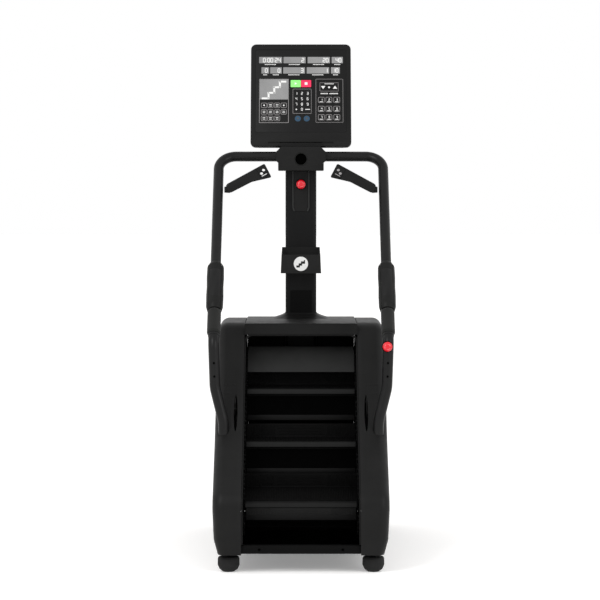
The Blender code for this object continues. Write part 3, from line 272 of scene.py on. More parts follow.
def circle(centre, radius, count=32, squeeze=1.0):
    """Points round a circle or an ellipse."""
    return [(centre[0] + radius * math.cos(2 * math.pi * i / count),
        centre[1] + radius * squeeze * math.sin(2 * math.pi * i / count)) for i in range(count)]


def rectangle(low_x, low_z, high_x, high_z):
    """A rectangle's corners, from the lower left and anticlockwise."""
    return [(low_x, low_z), (high_x, low_z), (high_x, high_z), (low_x, high_z)]


def rounded(middle, width, height, radius, count=5):
    """A rounded rectangle's outline."""
    x, z = middle
    w, h = width / 2, height / 2
    return fillet(rectangle(x - w, z - h, x + w, z + h), radius, count)


PLANES = {"YZ": (math.pi / 2, 0.0, math.pi / 2), "XZ": (math.pi / 2, 0.0, 0.0), "XY": (0.0, 0.0, 0.0)}


def plate(name, loops, low, high, plane="YZ", edge=0.0, turns=3):
    """Outlines extruded across their plane between two places, with rounded edges."""
    data = bpy.data.curves.new(name, "CURVE")
    data.dimensions = "2D"
    data.fill_mode = "BOTH"
    data.extrude = abs(high - low) / 2 - edge
    data.bevel_depth = edge
    data.bevel_resolution = turns
    data.offset = -edge
    for loop in loops:
        spline = data.splines.new("POLY")
        spline.points.add(len(loop) - 1)
        for point, flat in zip(spline.points, loop):
            point.co = (flat[0], flat[1], 0.0, 1.0)
        spline.use_cyclic_u = True
    item = link(name, data)
    middle = (low + high) / 2
    item.rotation_euler = PLANES[plane]
    item.location = {"YZ": (middle, 0, 0), "XZ": (0, middle, 0), "XY": (0, 0, middle)}[plane]
    return solid(item)


def tube(name, points, radius, smoothness=9):
    """A round tube along a path."""
    data = bpy.data.curves.new(name, "CURVE")
    data.dimensions = "3D"
    data.bevel_depth = radius
    data.bevel_resolution = smoothness
    data.use_fill_caps = True
    spline = data.splines.new("POLY")
    spline.points.add(len(points) - 1)
    for point, where in zip(spline.points, points):
        point.co = (*where, 1.0)
    return solid(link(name, data))


TO_AXIS = {"X": Matrix.Rotation(math.pi / 2, 4, "Y"), "Y": Matrix.Rotation(-math.pi / 2, 4, "X"),
    "Z": Matrix.Identity(4)}


def turned(name, profile, where, axis="Z", count=64, matrix=None):
    """A turned solid from radius and height pairs, closed on itself if it has a bore."""
    bm = bmesh.new()
    rings = []
    for radius, height in profile:
        if radius < 1e-6:
            rings.append([bm.verts.new((0.0, 0.0, height))])
        else:
            rings.append([bm.verts.new((x, y, height)) for x, y in circle((0, 0), radius, count)])
    pairs = list(zip(rings, rings[1:]))
    if profile[0][0] > 1e-6:
        pairs.append((rings[-1], rings[0]))
    for near, far in pairs:
        for i in range(count):
            j = (i + 1) % count
            corners = [near[i % len(near)], near[j % len(near)], far[j % len(far)], far[i % len(far)]]
            kept = list(dict.fromkeys(corners))
            if len(kept) > 2:
                bm.faces.new(kept)
    item = from_bmesh(name, bm)
    item.matrix_world = Matrix.Translation(where) @ (matrix or TO_AXIS[axis])
    return item


def outward(sign):
    """Turns a piece's axis to the outside of its side."""
    return Matrix.Rotation(sign * math.pi / 2, 4, "Y")


def arc_profile(points, radius, count=4):
    """A turned profile with its corners rounded."""
    return fillet(points, [0.0] + [radius] * (len(points) - 2) + [0.0], count, False)


def rod(radius, top, bottom, edge=0.0):
    """A plain bar's turned profile, with or without rounded rims."""
    profile = [(0.0, top), (radius, top), (radius, bottom), (0.0, bottom)]
    return arc_profile(profile, edge) if edge else profile


def block(name, low, high, edge=0.002, segments=3):
    """A box with rounded edges."""
    low, high = Vector(low), Vector(high)
    bm = bmesh.new()
    bmesh.ops.create_cube(bm, size=1.0, matrix=Matrix.Translation((low + high) / 2)
        @ Matrix.Diagonal((*(high - low), 1.0)))
    bmesh.ops.bevel(bm, geom=bm.edges[:], offset=edge, segments=segments, affect="EDGES", profile=0.5)
    return from_bmesh(name, bm)


def loft(name, rings, closed=True, caps=True, angle=32.0):
    """A skin over rings of points."""
    bm = bmesh.new()
    rows = [[bm.verts.new(p) for p in ring] for ring in rings]
    for near, far in zip(rows, rows[1:]):
        for i in range(len(near) if closed else len(near) - 1):
            j = (i + 1) % len(near)
            bm.faces.new((near[i], near[j], far[j], far[i]))
    if caps:
        bm.faces.new(rows[0])
        bm.faces.new(rows[-1])
    return from_bmesh(name, bm, angle)


def cut(item, *tools, operation="DIFFERENCE"):
    """Cuts or joins other shapes into an item, and removes them."""
    for tool in tools:
        mod = item.modifiers.new("cut", "BOOLEAN")
        mod.operation = operation
        mod.solver = "EXACT"
        mod.object = tool
    made = solid(item)
    for tool in tools:
        bpy.data.objects.remove(tool)
    return made


def joined(name, items, angle=32.0):
    """Several objects as one."""
    bm = bmesh.new()
    for item in items:
        bpy.context.view_layer.update()
        part = item.data.copy()
        part.transform(item.matrix_world)
        bm.from_mesh(part)
        bpy.data.objects.remove(item)
    return from_bmesh(name, bm, angle)


def show(item, look, node=None, body="root"):
    """Gives a piece its finish and its body, and hides the CAD node that it stands for."""
    item.data.materials.clear()
    item.data.materials.append(LOOKS[look])
    if node:
        body = BODY_OF[node]
        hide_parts(node)
    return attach(item, body)


# ---------------------------------------------------------------- shrouds and covers
END = START[1].y
SHROUD_LOW, SHROUD_HIGH, _ = box_of("side_shroud_right")
SHROUD_IN, BODY_LOW = SHROUD_LOW.x, SHROUD_LOW.z
BODY_X, BODY_TOP = SHROUD_HIGH.x, SHROUD_HIGH.z
SHELL = 0.004
RIM = 0.04
POST_Y = -0.39
POST_MID_X = 0.351
POST_X = 0.316
POST_END_Y = -0.40
TUBE_R = 0.0218


def inset_path(corners, distance):
    """Moves every side of a closed outline inwards."""
    path = [Vector(p) for p in corners]
    made = []
    for i, corner in enumerate(path):
        before = (corner - path[i - 1]).normalized()
        after = (path[(i + 1) % len(path)] - corner).normalized()
        first = Vector((-before.y, before.x))
        second = Vector((-after.y, after.x))
        made.append(corner + (first + second) * distance / (1.0 + first.dot(second)))
    return made


def shroud_ring(inset, drop=0.0, count=10):
    """The shroud's outline in the side view, set in by a distance and let down at its foot."""
    corners = [(-END + 0.012, BODY_LOW), (END - 0.012, BODY_LOW), (END, 0.17), (END, 0.30), (0.60, 0.80),
        (0.42, BODY_TOP), (-0.01, BODY_TOP), (-0.415, 0.53), (-END, 0.30), (-END, 0.13)]
    radii = [0.005, 0.005, 0.05, 0.12, 0.16, 0.10, 0.09, 0.25, 0.10, 0.05]
    path = inset_path(corners, inset)
    for corner in path[:2]:
        corner.y -= drop
    return fillet(path, [max(r - inset, 0.004) for r in radii], count)


def shroud_x(x, z):
    """The shroud's width, which narrows towards its foot."""
    share = min(max((0.20 - z) / (0.20 - BODY_LOW), 0.0), 1.0)
    tuck = 0.021 * share ** 2.1
    reach = (x - SHROUD_IN) / (BODY_X - SHROUD_IN)
    return x - tuck * max(reach, 0.0)


def shroud_form(name, sign, wall):
    """A shroud's outside, or its hollow."""
    sections = [(SHROUD_IN - 2 * wall, wall)]
    straight = BODY_X - RIM
    for i in range(1, 5):
        sections.append((SHROUD_IN + (straight - SHROUD_IN) * i / 4, wall))
    for i in range(1, 13):
        turn = math.pi / 2 * i / 12
        sections.append((straight + (RIM - wall) * math.sin(turn),
            wall + (RIM - wall) * (1 - math.cos(turn))))
    rings = []
    for x, inset in sections:
        ring = shroud_ring(inset, inset + wall)
        rings.append([(sign * shroud_x(x, z), y, z) for y, z in ring])
    return loft(name, rings, angle=40.0)


for side, sign in SIDES:
    shell = shroud_form(f"shroud_{side}", sign, 0.0)
    hollow = shroud_form("hollow", sign, SHELL)
    hole = turned("hole", rod(TUBE_R + 0.0016, 0.12, -0.12), (sign * POST_X, POST_END_Y, 0.60))
    lens = turned("lens", [(0.0, 0.14), (0.0034, 0.11), (0.0068, 0.055), (0.008, 0.0), (0.0068, -0.055),
        (0.0034, -0.11), (0.0, -0.14)], (sign * 0.268, -0.345, 0.60),
        matrix=Matrix.Rotation(-0.65, 4, "X") @ Matrix.Diagonal((1.0, 2.6, 1.0, 1.0)))
    shell = cut(shell, hollow, hole, lens)
    show(shell, "black_plastic", f"side_shroud_{side}")
    # two fine ledges on the shroud's user face
    for index, (z, wide) in enumerate(((0.715, 0.052), (0.680, 0.046))):
        y = -0.218 - (0.735 - z) * 0.945
        strip = block(f"shroud_ledge_{side}_{index}", (sign * 0.296 - wide / 2, y - 0.004, z - 0.004),
            (sign * 0.296 + wide / 2, y + 0.012, z + 0.002), 0.0015)
        show(strip, "black_plastic")
    # the screws that hold the shell, and a fine joint line round its outer face
    screws = []
    for y, z in ((-0.60, 0.16), (-0.30, 0.50), (0.05, 0.86), (0.40, 0.86), (0.62, 0.50), (0.62, 0.16),
            (0.0, 0.12)):
        head = turned("screw", arc_profile([(0.0, 0.0018), (0.0062, 0.0014), (0.0068, -0.004),
            (0.0, -0.004)], 0.0008), (sign * shroud_x(BODY_X, z), y, z), matrix=outward(sign))
        socket = turned("socket", rod(0.0028, 0.004, 0.0004), (0, 0, 0), count=6)
        socket.matrix_world = head.matrix_world.copy()
        screws.append(cut(head, socket))
    show(joined(f"shroud_screws_{side}", screws), "painted_steel")
    ring_path = [(sign * (shroud_x(BODY_X, z) + 0.0001), y, z) for y, z in shroud_ring(RIM + 0.006)]
    show(tube(f"shroud_joint_{side}", ring_path + ring_path[:1], 0.0005, 2), "painted_shade_steel")

COVER_LOW, COVER_HIGH, _ = box_of("top_cover")
LINTEL_R = 0.006
INSET_R = 0.034
outline = fillet(rectangle(COVER_LOW.x, COVER_LOW.z, COVER_HIGH.x, COVER_HIGH.z),
    [0.002, 0.002, LINTEL_R, LINTEL_R], 12)
cover = plate("top_cover_shell", [outline], COVER_LOW.y, COVER_HIGH.y, "XZ", 0.0018)
inner = fillet(rectangle(COVER_LOW.x + SHELL, COVER_LOW.z - 0.01, COVER_HIGH.x - SHELL,
    COVER_HIGH.z - SHELL), [0.0, 0.0, LINTEL_R - SHELL, LINTEL_R - SHELL], 12)
hollow = plate("hollow", [inner], COVER_LOW.y + SHELL, COVER_HIGH.y - SHELL, "XZ")
show(cut(cover, hollow), "black_plastic", "top_cover")
inset = fillet(rectangle(COVER_LOW.x + 0.003, COVER_LOW.z + 0.0015, COVER_HIGH.x - 0.003,
    COVER_HIGH.z - 0.0045), [0.002, 0.002, INSET_R, INSET_R], 12)
show(plate("lintel_inset", [inset], COVER_LOW.y - 0.0022, COVER_LOW.y + 0.001, "XZ", 0.0008), "nose")
# a near-black sheet under the body between the frames: painted shade
show(block("belly_pan", (-0.281, -0.62, 0.0740), (0.281, 0.545, 0.0780), 0.001), "painted_shade_black")
header = [(COVER_LOW.x + 0.002, COVER_LOW.z - 0.026), (COVER_LOW.x + 0.002, COVER_LOW.z - 0.001),
    (COVER_HIGH.x - 0.002, COVER_LOW.z - 0.001), (COVER_HIGH.x - 0.002, COVER_LOW.z - 0.026)]
arch = fillet(header, [0.0, 0.02, 0.02, 0.0], 8, False)
arch += [(x * 0.968, z - 0.0035) for x, z in reversed(fillet(header, [0.0, 0.024, 0.024, 0.0], 8, False))]
show(plate("stairwell_arch", [arch], COVER_LOW.y + 0.004, COVER_LOW.y + 0.012, "XZ", 0.0005),
    "black_plastic")

FRONT_LOW, FRONT_HIGH, _ = box_of("front_cover")
path = fillet([(COVER_HIGH.y + SHELL, BODY_TOP - SHELL), (0.59, 0.797), (END - SHELL, 0.30),
    (END - 0.014, FRONT_LOW.z)], [0.0, 0.14, 0.12, 0.0], 18, False)


def strip_outline(points, thickness):
    """The outline of a bent sheet."""
    line = [Vector(p) for p in points]
    inside = []
    for i, corner in enumerate(line):
        before = (corner - line[i - 1]).normalized() if i > 0 else None
        after = (line[i + 1] - corner).normalized() if i < len(line) - 1 else None
        before = before or after
        after = after or before
        normal = Vector((-before.y - after.y, before.x + after.x)).normalized()
        inside.append(corner + normal * thickness)
    return [tuple(p) for p in line] + [tuple(p) for p in reversed(inside)]


front = plate("front_shell", [strip_outline(path, -SHELL)], FRONT_LOW.x, FRONT_HIGH.x, "YZ", 0.0008)
tools = [block("vent", (-0.13 + 0.02 * i, 0.55, 0.55), (-0.122 + 0.02 * i, 0.76, 0.63), 0.0035)
    for i in range(14)]
INLET_LOW, INLET_HIGH, INLET_MID = box_of("power_inlet")
tools.append(block("inlet", (INLET_LOW.x - 0.001, 0.6, INLET_LOW.z - 0.001),
    (INLET_HIGH.x + 0.001, 0.75, INLET_HIGH.z + 0.001), 0.003))
show(cut(front, *tools), "black_plastic", "front_cover")
inlet = block("inlet_body", INLET_LOW, INLET_HIGH, 0.002)
socket = plate("socket", [fillet([(-0.018, INLET_MID.z - 0.012), (0.018, INLET_MID.z - 0.012),
    (0.018, INLET_MID.z + 0.005), (0.010, INLET_MID.z + 0.012), (-0.010, INLET_MID.z + 0.012),
    (-0.018, INLET_MID.z + 0.005)], 0.002, 4)], INLET_HIGH.y - 0.016, INLET_HIGH.y + 0.01, "XZ")
show(cut(inlet, socket), "black_plastic", "power_inlet")
pins = [block("pin", (x - 0.001, INLET_HIGH.y - 0.018, INLET_MID.z + z - 0.002),
    (x + 0.001, INLET_HIGH.y - 0.004, INLET_MID.z + z + 0.002), 0.0004, 2) for x,
    z in ((-0.009, -0.004), (0.0, 0.003), (0.009, -0.004))]
show(joined("inlet_pins", pins), "bare_steel")

# ---------------------------------------------------------------- staircase
STEP_HALF = box_of("step_2")[1].x
RISER_IN = 0.018
NOSE_H = 0.023
KICK_H = 0.055
STEP_RUN = 0.2
PLATE_T = 0.006
KICK_Y = STEP_RUN - PLATE_T
DROP = 0.131
LIP_HEIGHT = 0.022
INCLINE = Vector((1.0, 1.0)).normalized()
INWARD = Vector((INCLINE.y, -INCLINE.x))
FIRST = Vector((-0.36, 0.49))
PITCH = Vector((STEP_RUN, STEP_RUN))
SPROCKET_OFF = 0.122
CHAIN_R = 0.0755
LOWER = FIRST - PITCH * 1.0065 + INWARD * SPROCKET_OFF
UPPER = FIRST + PITCH * 1.6575 + INWARD * SPROCKET_OFF


def turn_2d(point, angle):
    """Turns a point of the side view."""
    return Vector((point[0] * math.cos(angle) - point[1] * math.sin(angle),
        point[0] * math.sin(angle) + point[1] * math.cos(angle)))


def riser_curve(top, fall, lift=0.0):
    """The hollow of a riser, from a depth under the tread and down."""
    return [(RISER_IN * math.sin(math.pi * (0.22 + 0.78 * t / 10)) ** 0.6 - lift, -top - fall * t / 10)
        for t in range(11)]


def step_section(drop):
    """A step's section with a rounded nose and a hollow riser."""
    outer = fillet([(RISER_IN * 0.6, -NOSE_H), (0.0, -NOSE_H), (0.0, 0.0), (KICK_Y, 0.0), (KICK_Y, KICK_H),
        (STEP_RUN, KICK_H), (STEP_RUN, -0.012), (RISER_IN + 2 * PLATE_T, -0.012)],
        [0.0, 0.002, 0.0035, 0.003, 0.0015, 0.0015, 0.002, 0.0], 4, False)
    bulge = riser_curve(NOSE_H, drop - NOSE_H)
    inside = [(y + PLATE_T, z) for y, z in bulge]
    return outer + inside[:-1] + [(PLATE_T, -drop)] + [(0.0, -drop)] + list(reversed(bulge[1:-1]))


RIB_COUNT = 61
RIB_PITCH = 0.0068
RIB_HIGH = 0.0012


def ridges(name, half, start, end, high=RIB_HIGH, gap=None):
    """Ribs side by side along X, between two places of the step's own side view."""
    bm = bmesh.new()
    for i in range(RIB_COUNT):
        x = (i - (RIB_COUNT - 1) / 2) * RIB_PITCH
        if abs(x) > half or (gap and abs(x) < gap):
            continue
        base = [(x - RIB_PITCH * 0.3, 0.0), (x - RIB_PITCH * 0.16, high), (x + RIB_PITCH * 0.16, high),
            (x + RIB_PITCH * 0.3, 0.0)]
        rows = []
        for u, w in (start, end):
            normal = Vector((-(end[1] - start[1]), end[0] - start[0])).normalized()
            rows.append([bm.verts.new((bx, u + normal.x * bz, w + normal.y * bz)) for bx, bz in base])
        for a in range(4):
            b = (a + 1) % 4
            bm.faces.new((rows[0][a], rows[0][b], rows[1][b], rows[1][a]))
        bm.faces.new(rows[0])
        bm.faces.new(rows[1])
    return from_bmesh(name, bm, 20.0)


LOW_TURN = math.radians(12.0)
HIGH_TURN = math.radians(-36.6)
steps = ((1, LOWER + turn_2d(-INWARD * SPROCKET_OFF, LOW_TURN), LOW_TURN, 0.075), (2, FIRST, 0.0, DROP),
    (3, FIRST + PITCH, 0.0, DROP), (4, UPPER + turn_2d(-INWARD * SPROCKET_OFF, HIGH_TURN), HIGH_TURN, DROP))
for index, nose, angle, drop in steps:
    node = f"step_{index}"
    place = Matrix.Translation((0.0, nose.x, nose.y)) @ Matrix.Rotation(angle, 4, "X")
    main = plate("main", [step_section(drop)], -STEP_HALF, STEP_HALF, "YZ", 0.0008)
    main.matrix_world = place @ main.matrix_world
    pin_at = nose + turn_2d(INWARD * (SPROCKET_OFF - CHAIN_R), angle)
    pin = turned("pin", rod(0.0127, 0.2267, -0.2267, 0.001), (0.0, pin_at.x, pin_at.y), "X", 24)
    # casting and ribs in the darkened step plastic: painted shade
    show(joined(f"{node}_casting", [main, pin]), "step_casting", node)
    body = BODY_OF[node]
    tread = ridges(f"{node}_tread_ribs", STEP_HALF - 0.012, (0.026, 0.0), (0.185, 0.0))
    kick = ridges(f"{node}_kick_ribs", STEP_HALF - 0.012, (KICK_Y, 0.006), (KICK_Y, KICK_H - 0.004),
        gap=0.105)
    pieces = [tread, kick]
    for k in range(7):
        z = 0.011 + 0.0062 * k
        bar = block("bar", (-0.098 + 0.004 * (k % 2), KICK_Y - 0.0014, z - 0.0012),
            (0.098 - 0.004 * (k % 3), KICK_Y + 0.001, z + 0.0012), 0.0006, 2)
        pieces.append(bar)
    ribs = joined(f"{node}_ribs", pieces, 20.0)
    ribs.matrix_world = place
    show(ribs, "step_casting", body=body)
    lip = loft("lip", [[(x, y, z) for y, z in ((0.0008, -NOSE_H + 0.0015), (-0.0006, -NOSE_H + 0.003),
        (-0.0006, -0.004), (0.0012, -0.0006), (0.005, 0.0004), (0.012, 0.0004), (0.012, -0.003),
        (0.004, -0.006), (0.004, -NOSE_H + 0.0015))] for x in (-STEP_HALF + 0.004, STEP_HALF - 0.004)])
    lip.matrix_world = place
    lip.name = f"{node}_nose"
    show(lip, "nose", body=body)
    # the riser's hollow face in near-black: painted shade under each step's nose
    face = riser_curve(NOSE_H + 0.001, drop - NOSE_H - 0.006, 0.0006)
    face += [(y + 0.001, z) for y, z in reversed(face)]
    riser = plate(f"{node}_riser_face", [face], -STEP_HALF + 0.001, STEP_HALF - 0.001, "YZ")
    riser.matrix_world = place @ riser.matrix_world
    show(riser, "painted_shade_black", body=body)
    foot_lip = block(f"{node}_riser_lip", (-STEP_HALF + 0.004, -0.0008, -drop + 0.0005),
        (STEP_HALF - 0.004, 0.0045, -drop + LIP_HEIGHT), 0.0008, 2)
    foot_lip.matrix_world = place
    show(foot_lip, "riser_lip", body=body)
    if drop < DROP:
        low_ribs = [ridges("low", STEP_HALF - 0.02, (0.002, -drop + 0.004), (0.002, -NOSE_H - 0.003),
            0.0016, 0.12)]
        band = block("band", (-STEP_HALF + 0.006, 0.002, -drop),
            (STEP_HALF - 0.006, 0.008, -NOSE_H - 0.001), 0.001)
        for k in range(6):
            z = -NOSE_H - 0.009 - 0.0070 * k
            low_ribs.append(block("bar", (-0.112, 0.0008, z - 0.0013),
                (0.112 - 0.003 * (k % 3), 0.003, z + 0.0013), 0.0006, 2))
        panel = joined(f"{node}_front_panel", [band] + low_ribs, 20.0)
        panel.matrix_world = place
        show(panel, "nose", body=body)
    elif index == 4:
        face = [(x, z) for x, z in ((-STEP_HALF + 0.001, -DROP), (STEP_HALF - 0.001, -DROP),
            (STEP_HALF - 0.001, -0.03), (STEP_HALF - 0.008, -0.004), (-STEP_HALF + 0.008, -0.004),
            (-STEP_HALF + 0.001, -0.03))]
        # the top step's front panel in the lighter plastic: painted light where the lamp falls on it
        panel = plate(f"{node}_front_panel", [fillet(face, 0.003, 4)], -0.0012, 0.004, "XZ", 0.0008)
        panel.matrix_world = place @ panel.matrix_world
        show(panel, "painted_light_plastic", body=body)

# ---------------------------------------------------------------- chains
SPAN = (UPPER - LOWER).length
LOOP = 2 * SPAN + 2 * math.pi * CHAIN_R
LINKS = 2 * round(LOOP / 0.0254 / 2)


def on_chain(distance):
    """The point and heading at a distance round the chain."""
    distance %= LOOP
    out = -INWARD * CHAIN_R
    if distance < SPAN:
        return LOWER + out + INCLINE * distance, math.pi / 4
    distance -= SPAN
    half_turn = math.pi * CHAIN_R
    if distance < half_turn:
        angle = -distance / CHAIN_R
        return UPPER + turn_2d(out, angle), math.pi / 4 + angle
    distance -= half_turn
    if distance < SPAN:
        return UPPER - out - INCLINE * distance, math.pi / 4 - math.pi
    angle = -(distance - SPAN) / CHAIN_R
    return LOWER + turn_2d(-out, angle), math.pi / 4 - math.pi + angle


for side, sign in SIDES:
    bm = bmesh.new()
    middle = box_of(f"step_chain_{side}")[2].x
    for i in range(LINKS):
        start, _ = on_chain(LOOP * i / LINKS)
        end, _ = on_chain(LOOP * (i + 1) / LINKS)
        along = (end - start)
        heading = math.atan2(along.y, along.x)
        centre = (start + end) / 2
        reach = 0.0042 if i % 2 else 0.0058
        for half_side in (-1, 1):
            shape = [(along.length / 2 + 0.0052 * math.cos(a), 0.0052 * math.sin(a)) if math.cos(a) > -0.01
                else (-along.length / 2 + 0.0052 * math.cos(a), 0.0052 * math.sin(a))
                for a in [2 * math.pi * k / 12 for k in range(12)]]
            rows = []
            for x in (middle + half_side * reach - 0.0006, middle + half_side * reach + 0.0006):
                row = []
                for u, w in shape:
                    turned_at = centre + turn_2d((u, w), heading)
                    row.append(bm.verts.new((x, turned_at.x, turned_at.y)))
                rows.append(row)
            for a in range(12):
                bm.faces.new((rows[0][a], rows[0][(a + 1) % 12], rows[1][(a + 1) % 12], rows[1][a]))
            bm.faces.new(rows[0])
            bm.faces.new(rows[1])
        bmesh.ops.create_cone(bm, cap_ends=True, segments=12, radius1=0.004, radius2=0.004, depth=0.0136,
            matrix=Matrix.Translation((middle, start.x, start.y)) @ TO_AXIS["X"])
    show(from_bmesh(f"chain_links_{side}", bm), "black_steel", f"step_chain_{side}")

# ---------------------------------------------------------------- frame, feet and wheels
BAR_LOW, BAR_HIGH, BAR_MID = box_of("rear_crossbar")
# the crossbar in the darker copy of the powder coat: painted shade under the body
show(block("rear_bar", BAR_LOW, BAR_HIGH, 0.0035, 4), "painted_shade_steel", "rear_crossbar")


def button_head(name, where, radius=0.0055, look="painted_steel"):
    """A round screw head with a hexagon socket, facing -Y."""
    head = turned("head", arc_profile([(0.0, -0.0035), (radius * 0.75, -0.0032), (radius, -0.0008),
        (radius, 0.002), (0.0, 0.002)], 0.0006), where, "Y", 40)
    key = turned("key", rod(radius * 0.5, -0.006, -0.001), where, "Y", 6)
    made = cut(head, key)
    made.name = name
    return show(made, look)


for side, sign in SIDES:
    button_head(f"bar_bolt_{side}", (sign * 0.166, BAR_LOW.y - 0.0005, BAR_MID.z), 0.0052, "painted_shade_black")
    for end in ("rear", "front"):
        node = f"foot_{end}_{side}"
        low, high, mid = box_of(node)
        r = (high.x - low.x) / 2
        pad = turned(f"{node}_pad", fillet([(0.0, 0.0596), (r * 0.9, 0.0596), (r * 0.99, 0.052), (r, 0.027),
            (r * 0.84, 0.011), (r * 0.52, 0.0), (0.0, 0.0)], [0.0, 0.003, 0.004, 0.006, 0.005, 0.002, 0.0],
            5, False), (mid.x, mid.y, 0.0))
        show(pad, "rubber", node)
        stem = [turned("stem", rod(0.0065, high.z, 0.05, 0.0008), (mid.x, mid.y, 0.0), count=32),
            turned("nut", rod(0.0125, 0.0690, 0.0600, 0.001), (mid.x, mid.y, 0.0), count=6)]
        show(joined(f"{node}_stem", stem), "black_steel", body=BODY_OF[node])
    node = f"transport_wheel_{side}"
    low, high, mid = box_of(node)
    r = (high.z - low.z) / 2
    half = (high.x - low.x) / 2
    bore = 0.0067
    rim = [(bore, half * 0.96), (0.013, half * 0.96), (0.0145, half * 0.7), (r * 0.72, half * 0.7),
        (r * 0.78, half), (r * 0.93, half), (r, half * 0.62), (r, half * 0.2), (r * 0.965, half * 0.12)]
    rim += [(radius, -height) for radius, height in reversed(rim)]
    show(turned(f"{node}_tyre", rim, mid, "X"), "rubber", node)

# ---------------------------------------------------------------- mast
MAST_LOW, MAST_HIGH, MAST_MID = box_of("mast")
mast_w = MAST_HIGH.x - MAST_LOW.x
mast_d = MAST_HIGH.y - MAST_LOW.y
outer = rounded((0.0, MAST_MID.y), mast_w, mast_d, 0.014, 8)
inner = rounded((0.0, MAST_MID.y), mast_w - 0.006, mast_d - 0.006, 0.011, 8)
column = plate("mast_column", [outer, inner], MAST_LOW.z, MAST_HIGH.z, "XY")
panel_z = (1.0147, 1.0805)
well = block("well", (-0.0475, MAST_LOW.y - 0.004, 0.975), (0.0475, MAST_LOW.y + 0.0012, panel_z[1]),
    0.0008, 1)
show(cut(column, well), "mast_paint", "mast")
# the mast's recessed panel in the darker powder coat: painted shade in the recess
show(plate("mast_inset", [rounded((0.0, (panel_z[0] + panel_z[1]) / 2 - 0.018), 0.092, 0.098, 0.004)],
    MAST_LOW.y + 0.0002, MAST_LOW.y + 0.0022, "XZ", 0.0004), "painted_shade_steel")
COLLAR_LOW, COLLAR_HIGH, _ = box_of("mast_collar")
rings = []
for i in range(9):
    t = i / 8
    ease = (1 - t) ** 1.6
    w = mast_w + 0.003 + (COLLAR_HIGH.x - COLLAR_LOW.x - mast_w - 0.003) * ease
    front_y = MAST_LOW.y - 0.0015 - (MAST_LOW.y - COLLAR_LOW.y - 0.0015) * ease
    back_y = MAST_HIGH.y + 0.0015 + (COLLAR_HIGH.y - MAST_HIGH.y - 0.0015) * ease
    z = COLLAR_LOW.z + (COLLAR_HIGH.z - COLLAR_LOW.z) * t
    rings.append([(x, y, z) for x, y in rounded((0.0, (front_y + back_y) / 2), w, back_y - front_y, 0.018)])
hole = [[(x, y, z) for x, y in rounded((0.0, MAST_MID.y), mast_w + 0.002, mast_d + 0.002, 0.014)]
    for z in (COLLAR_HIGH.z, COLLAR_LOW.z)]
collar = loft("collar", rings + hole, caps=False)
show(collar, "black_plastic", "mast_collar")

PLATE_LOW, PLATE_HIGH, PLATE_MID = box_of("stop_housing")
# lighter ribs along the stop channel's edges: painted highlights
for sign in (-1.0, 1.0):
    rail = fillet([(sign * 0.0345, PLATE_LOW.y - 0.0005, PLATE_HIGH.z),
        (sign * 0.0345, PLATE_LOW.y - 0.0005, PLATE_LOW.z + 0.016),
        (sign * 0.0285, PLATE_LOW.y - 0.0005, PLATE_LOW.z + 0.001)], [0.0, 0.012, 0.0], 6, False)
    show(tube(f"mast_rib_{'left' if sign < 0 else 'right'}", rail, 0.0028, 4), "painted_light_plastic")
channel = fillet([(-0.0345, PLATE_HIGH.z), (-0.0345, PLATE_LOW.z + 0.016), (-0.0285, PLATE_LOW.z),
    (0.0285, PLATE_LOW.z), (0.0345, PLATE_LOW.z + 0.016), (0.0345, PLATE_HIGH.z)],
    [0.0, 0.01, 0.004, 0.004, 0.01, 0.0], 6)
show(plate("stop_channel", [channel], PLATE_MID.y, PLATE_HIGH.y, "XZ", 0.0008), "black_plastic",
    "stop_housing")


def stop_switch(name, node, ring_node):
    """A red mushroom head with lighter red arcs as a painted highlight, over a dark collar."""
    low, high, mid = box_of(node)
    r = (high.x - low.x) / 2
    front = low.y
    tall = 0.016
    head = [(0.0, 0.0), (r * 0.35, 0.0003), (r * 0.62, 0.0014), (r * 0.86, 0.0045), (r * 0.99, 0.0085),
        (r, 0.0108), (r * 0.96, 0.0135), (r * 0.84, tall), (0.0095, tall), (0.0078, tall + 0.001),
        (0.0078, high.y - front), (0.0, high.y - front)]
    head_item = turned(name, head, (mid.x, front, mid.z), "Y")
    show(head_item, "red_plastic", node)
    body = BODY_OF[node]
    # three lighter red arcs round the head: a painted highlight ring
    marks = []
    for k in range(3):
        a = 2 * math.pi * k / 3 + 0.35
        points = [(mid.x + r * 0.56 * math.cos(a + t * 0.16), front + 0.0011,
            mid.z + r * 0.56 * math.sin(a + t * 0.16)) for t in range(9)]
        marks.append(tube("arc", points, 0.0007, 3))
    show(joined(f"{name}_arcs", marks), "red_painted_highlight", body=body)
    low_c, high_c, mid_c = box_of(ring_node)
    rc = (high_c.x - low_c.x) / 2
    ring = arc_profile([(0.0087, 0.0), (rc * 0.9, 0.0), (rc, 0.003), (rc, high_c.y - low_c.y),
        (0.0087, high_c.y - low_c.y)], 0.001)
    show(turned(f"{name}_ring", ring, (mid_c.x, low_c.y, mid_c.z), "Y"), "painted_shade_black", ring_node)


stop_switch("mast_stop", "mast_stop_button", "mast_stop_collar")
stop_switch("post_stop", "post_stop_button", "post_stop_collar")

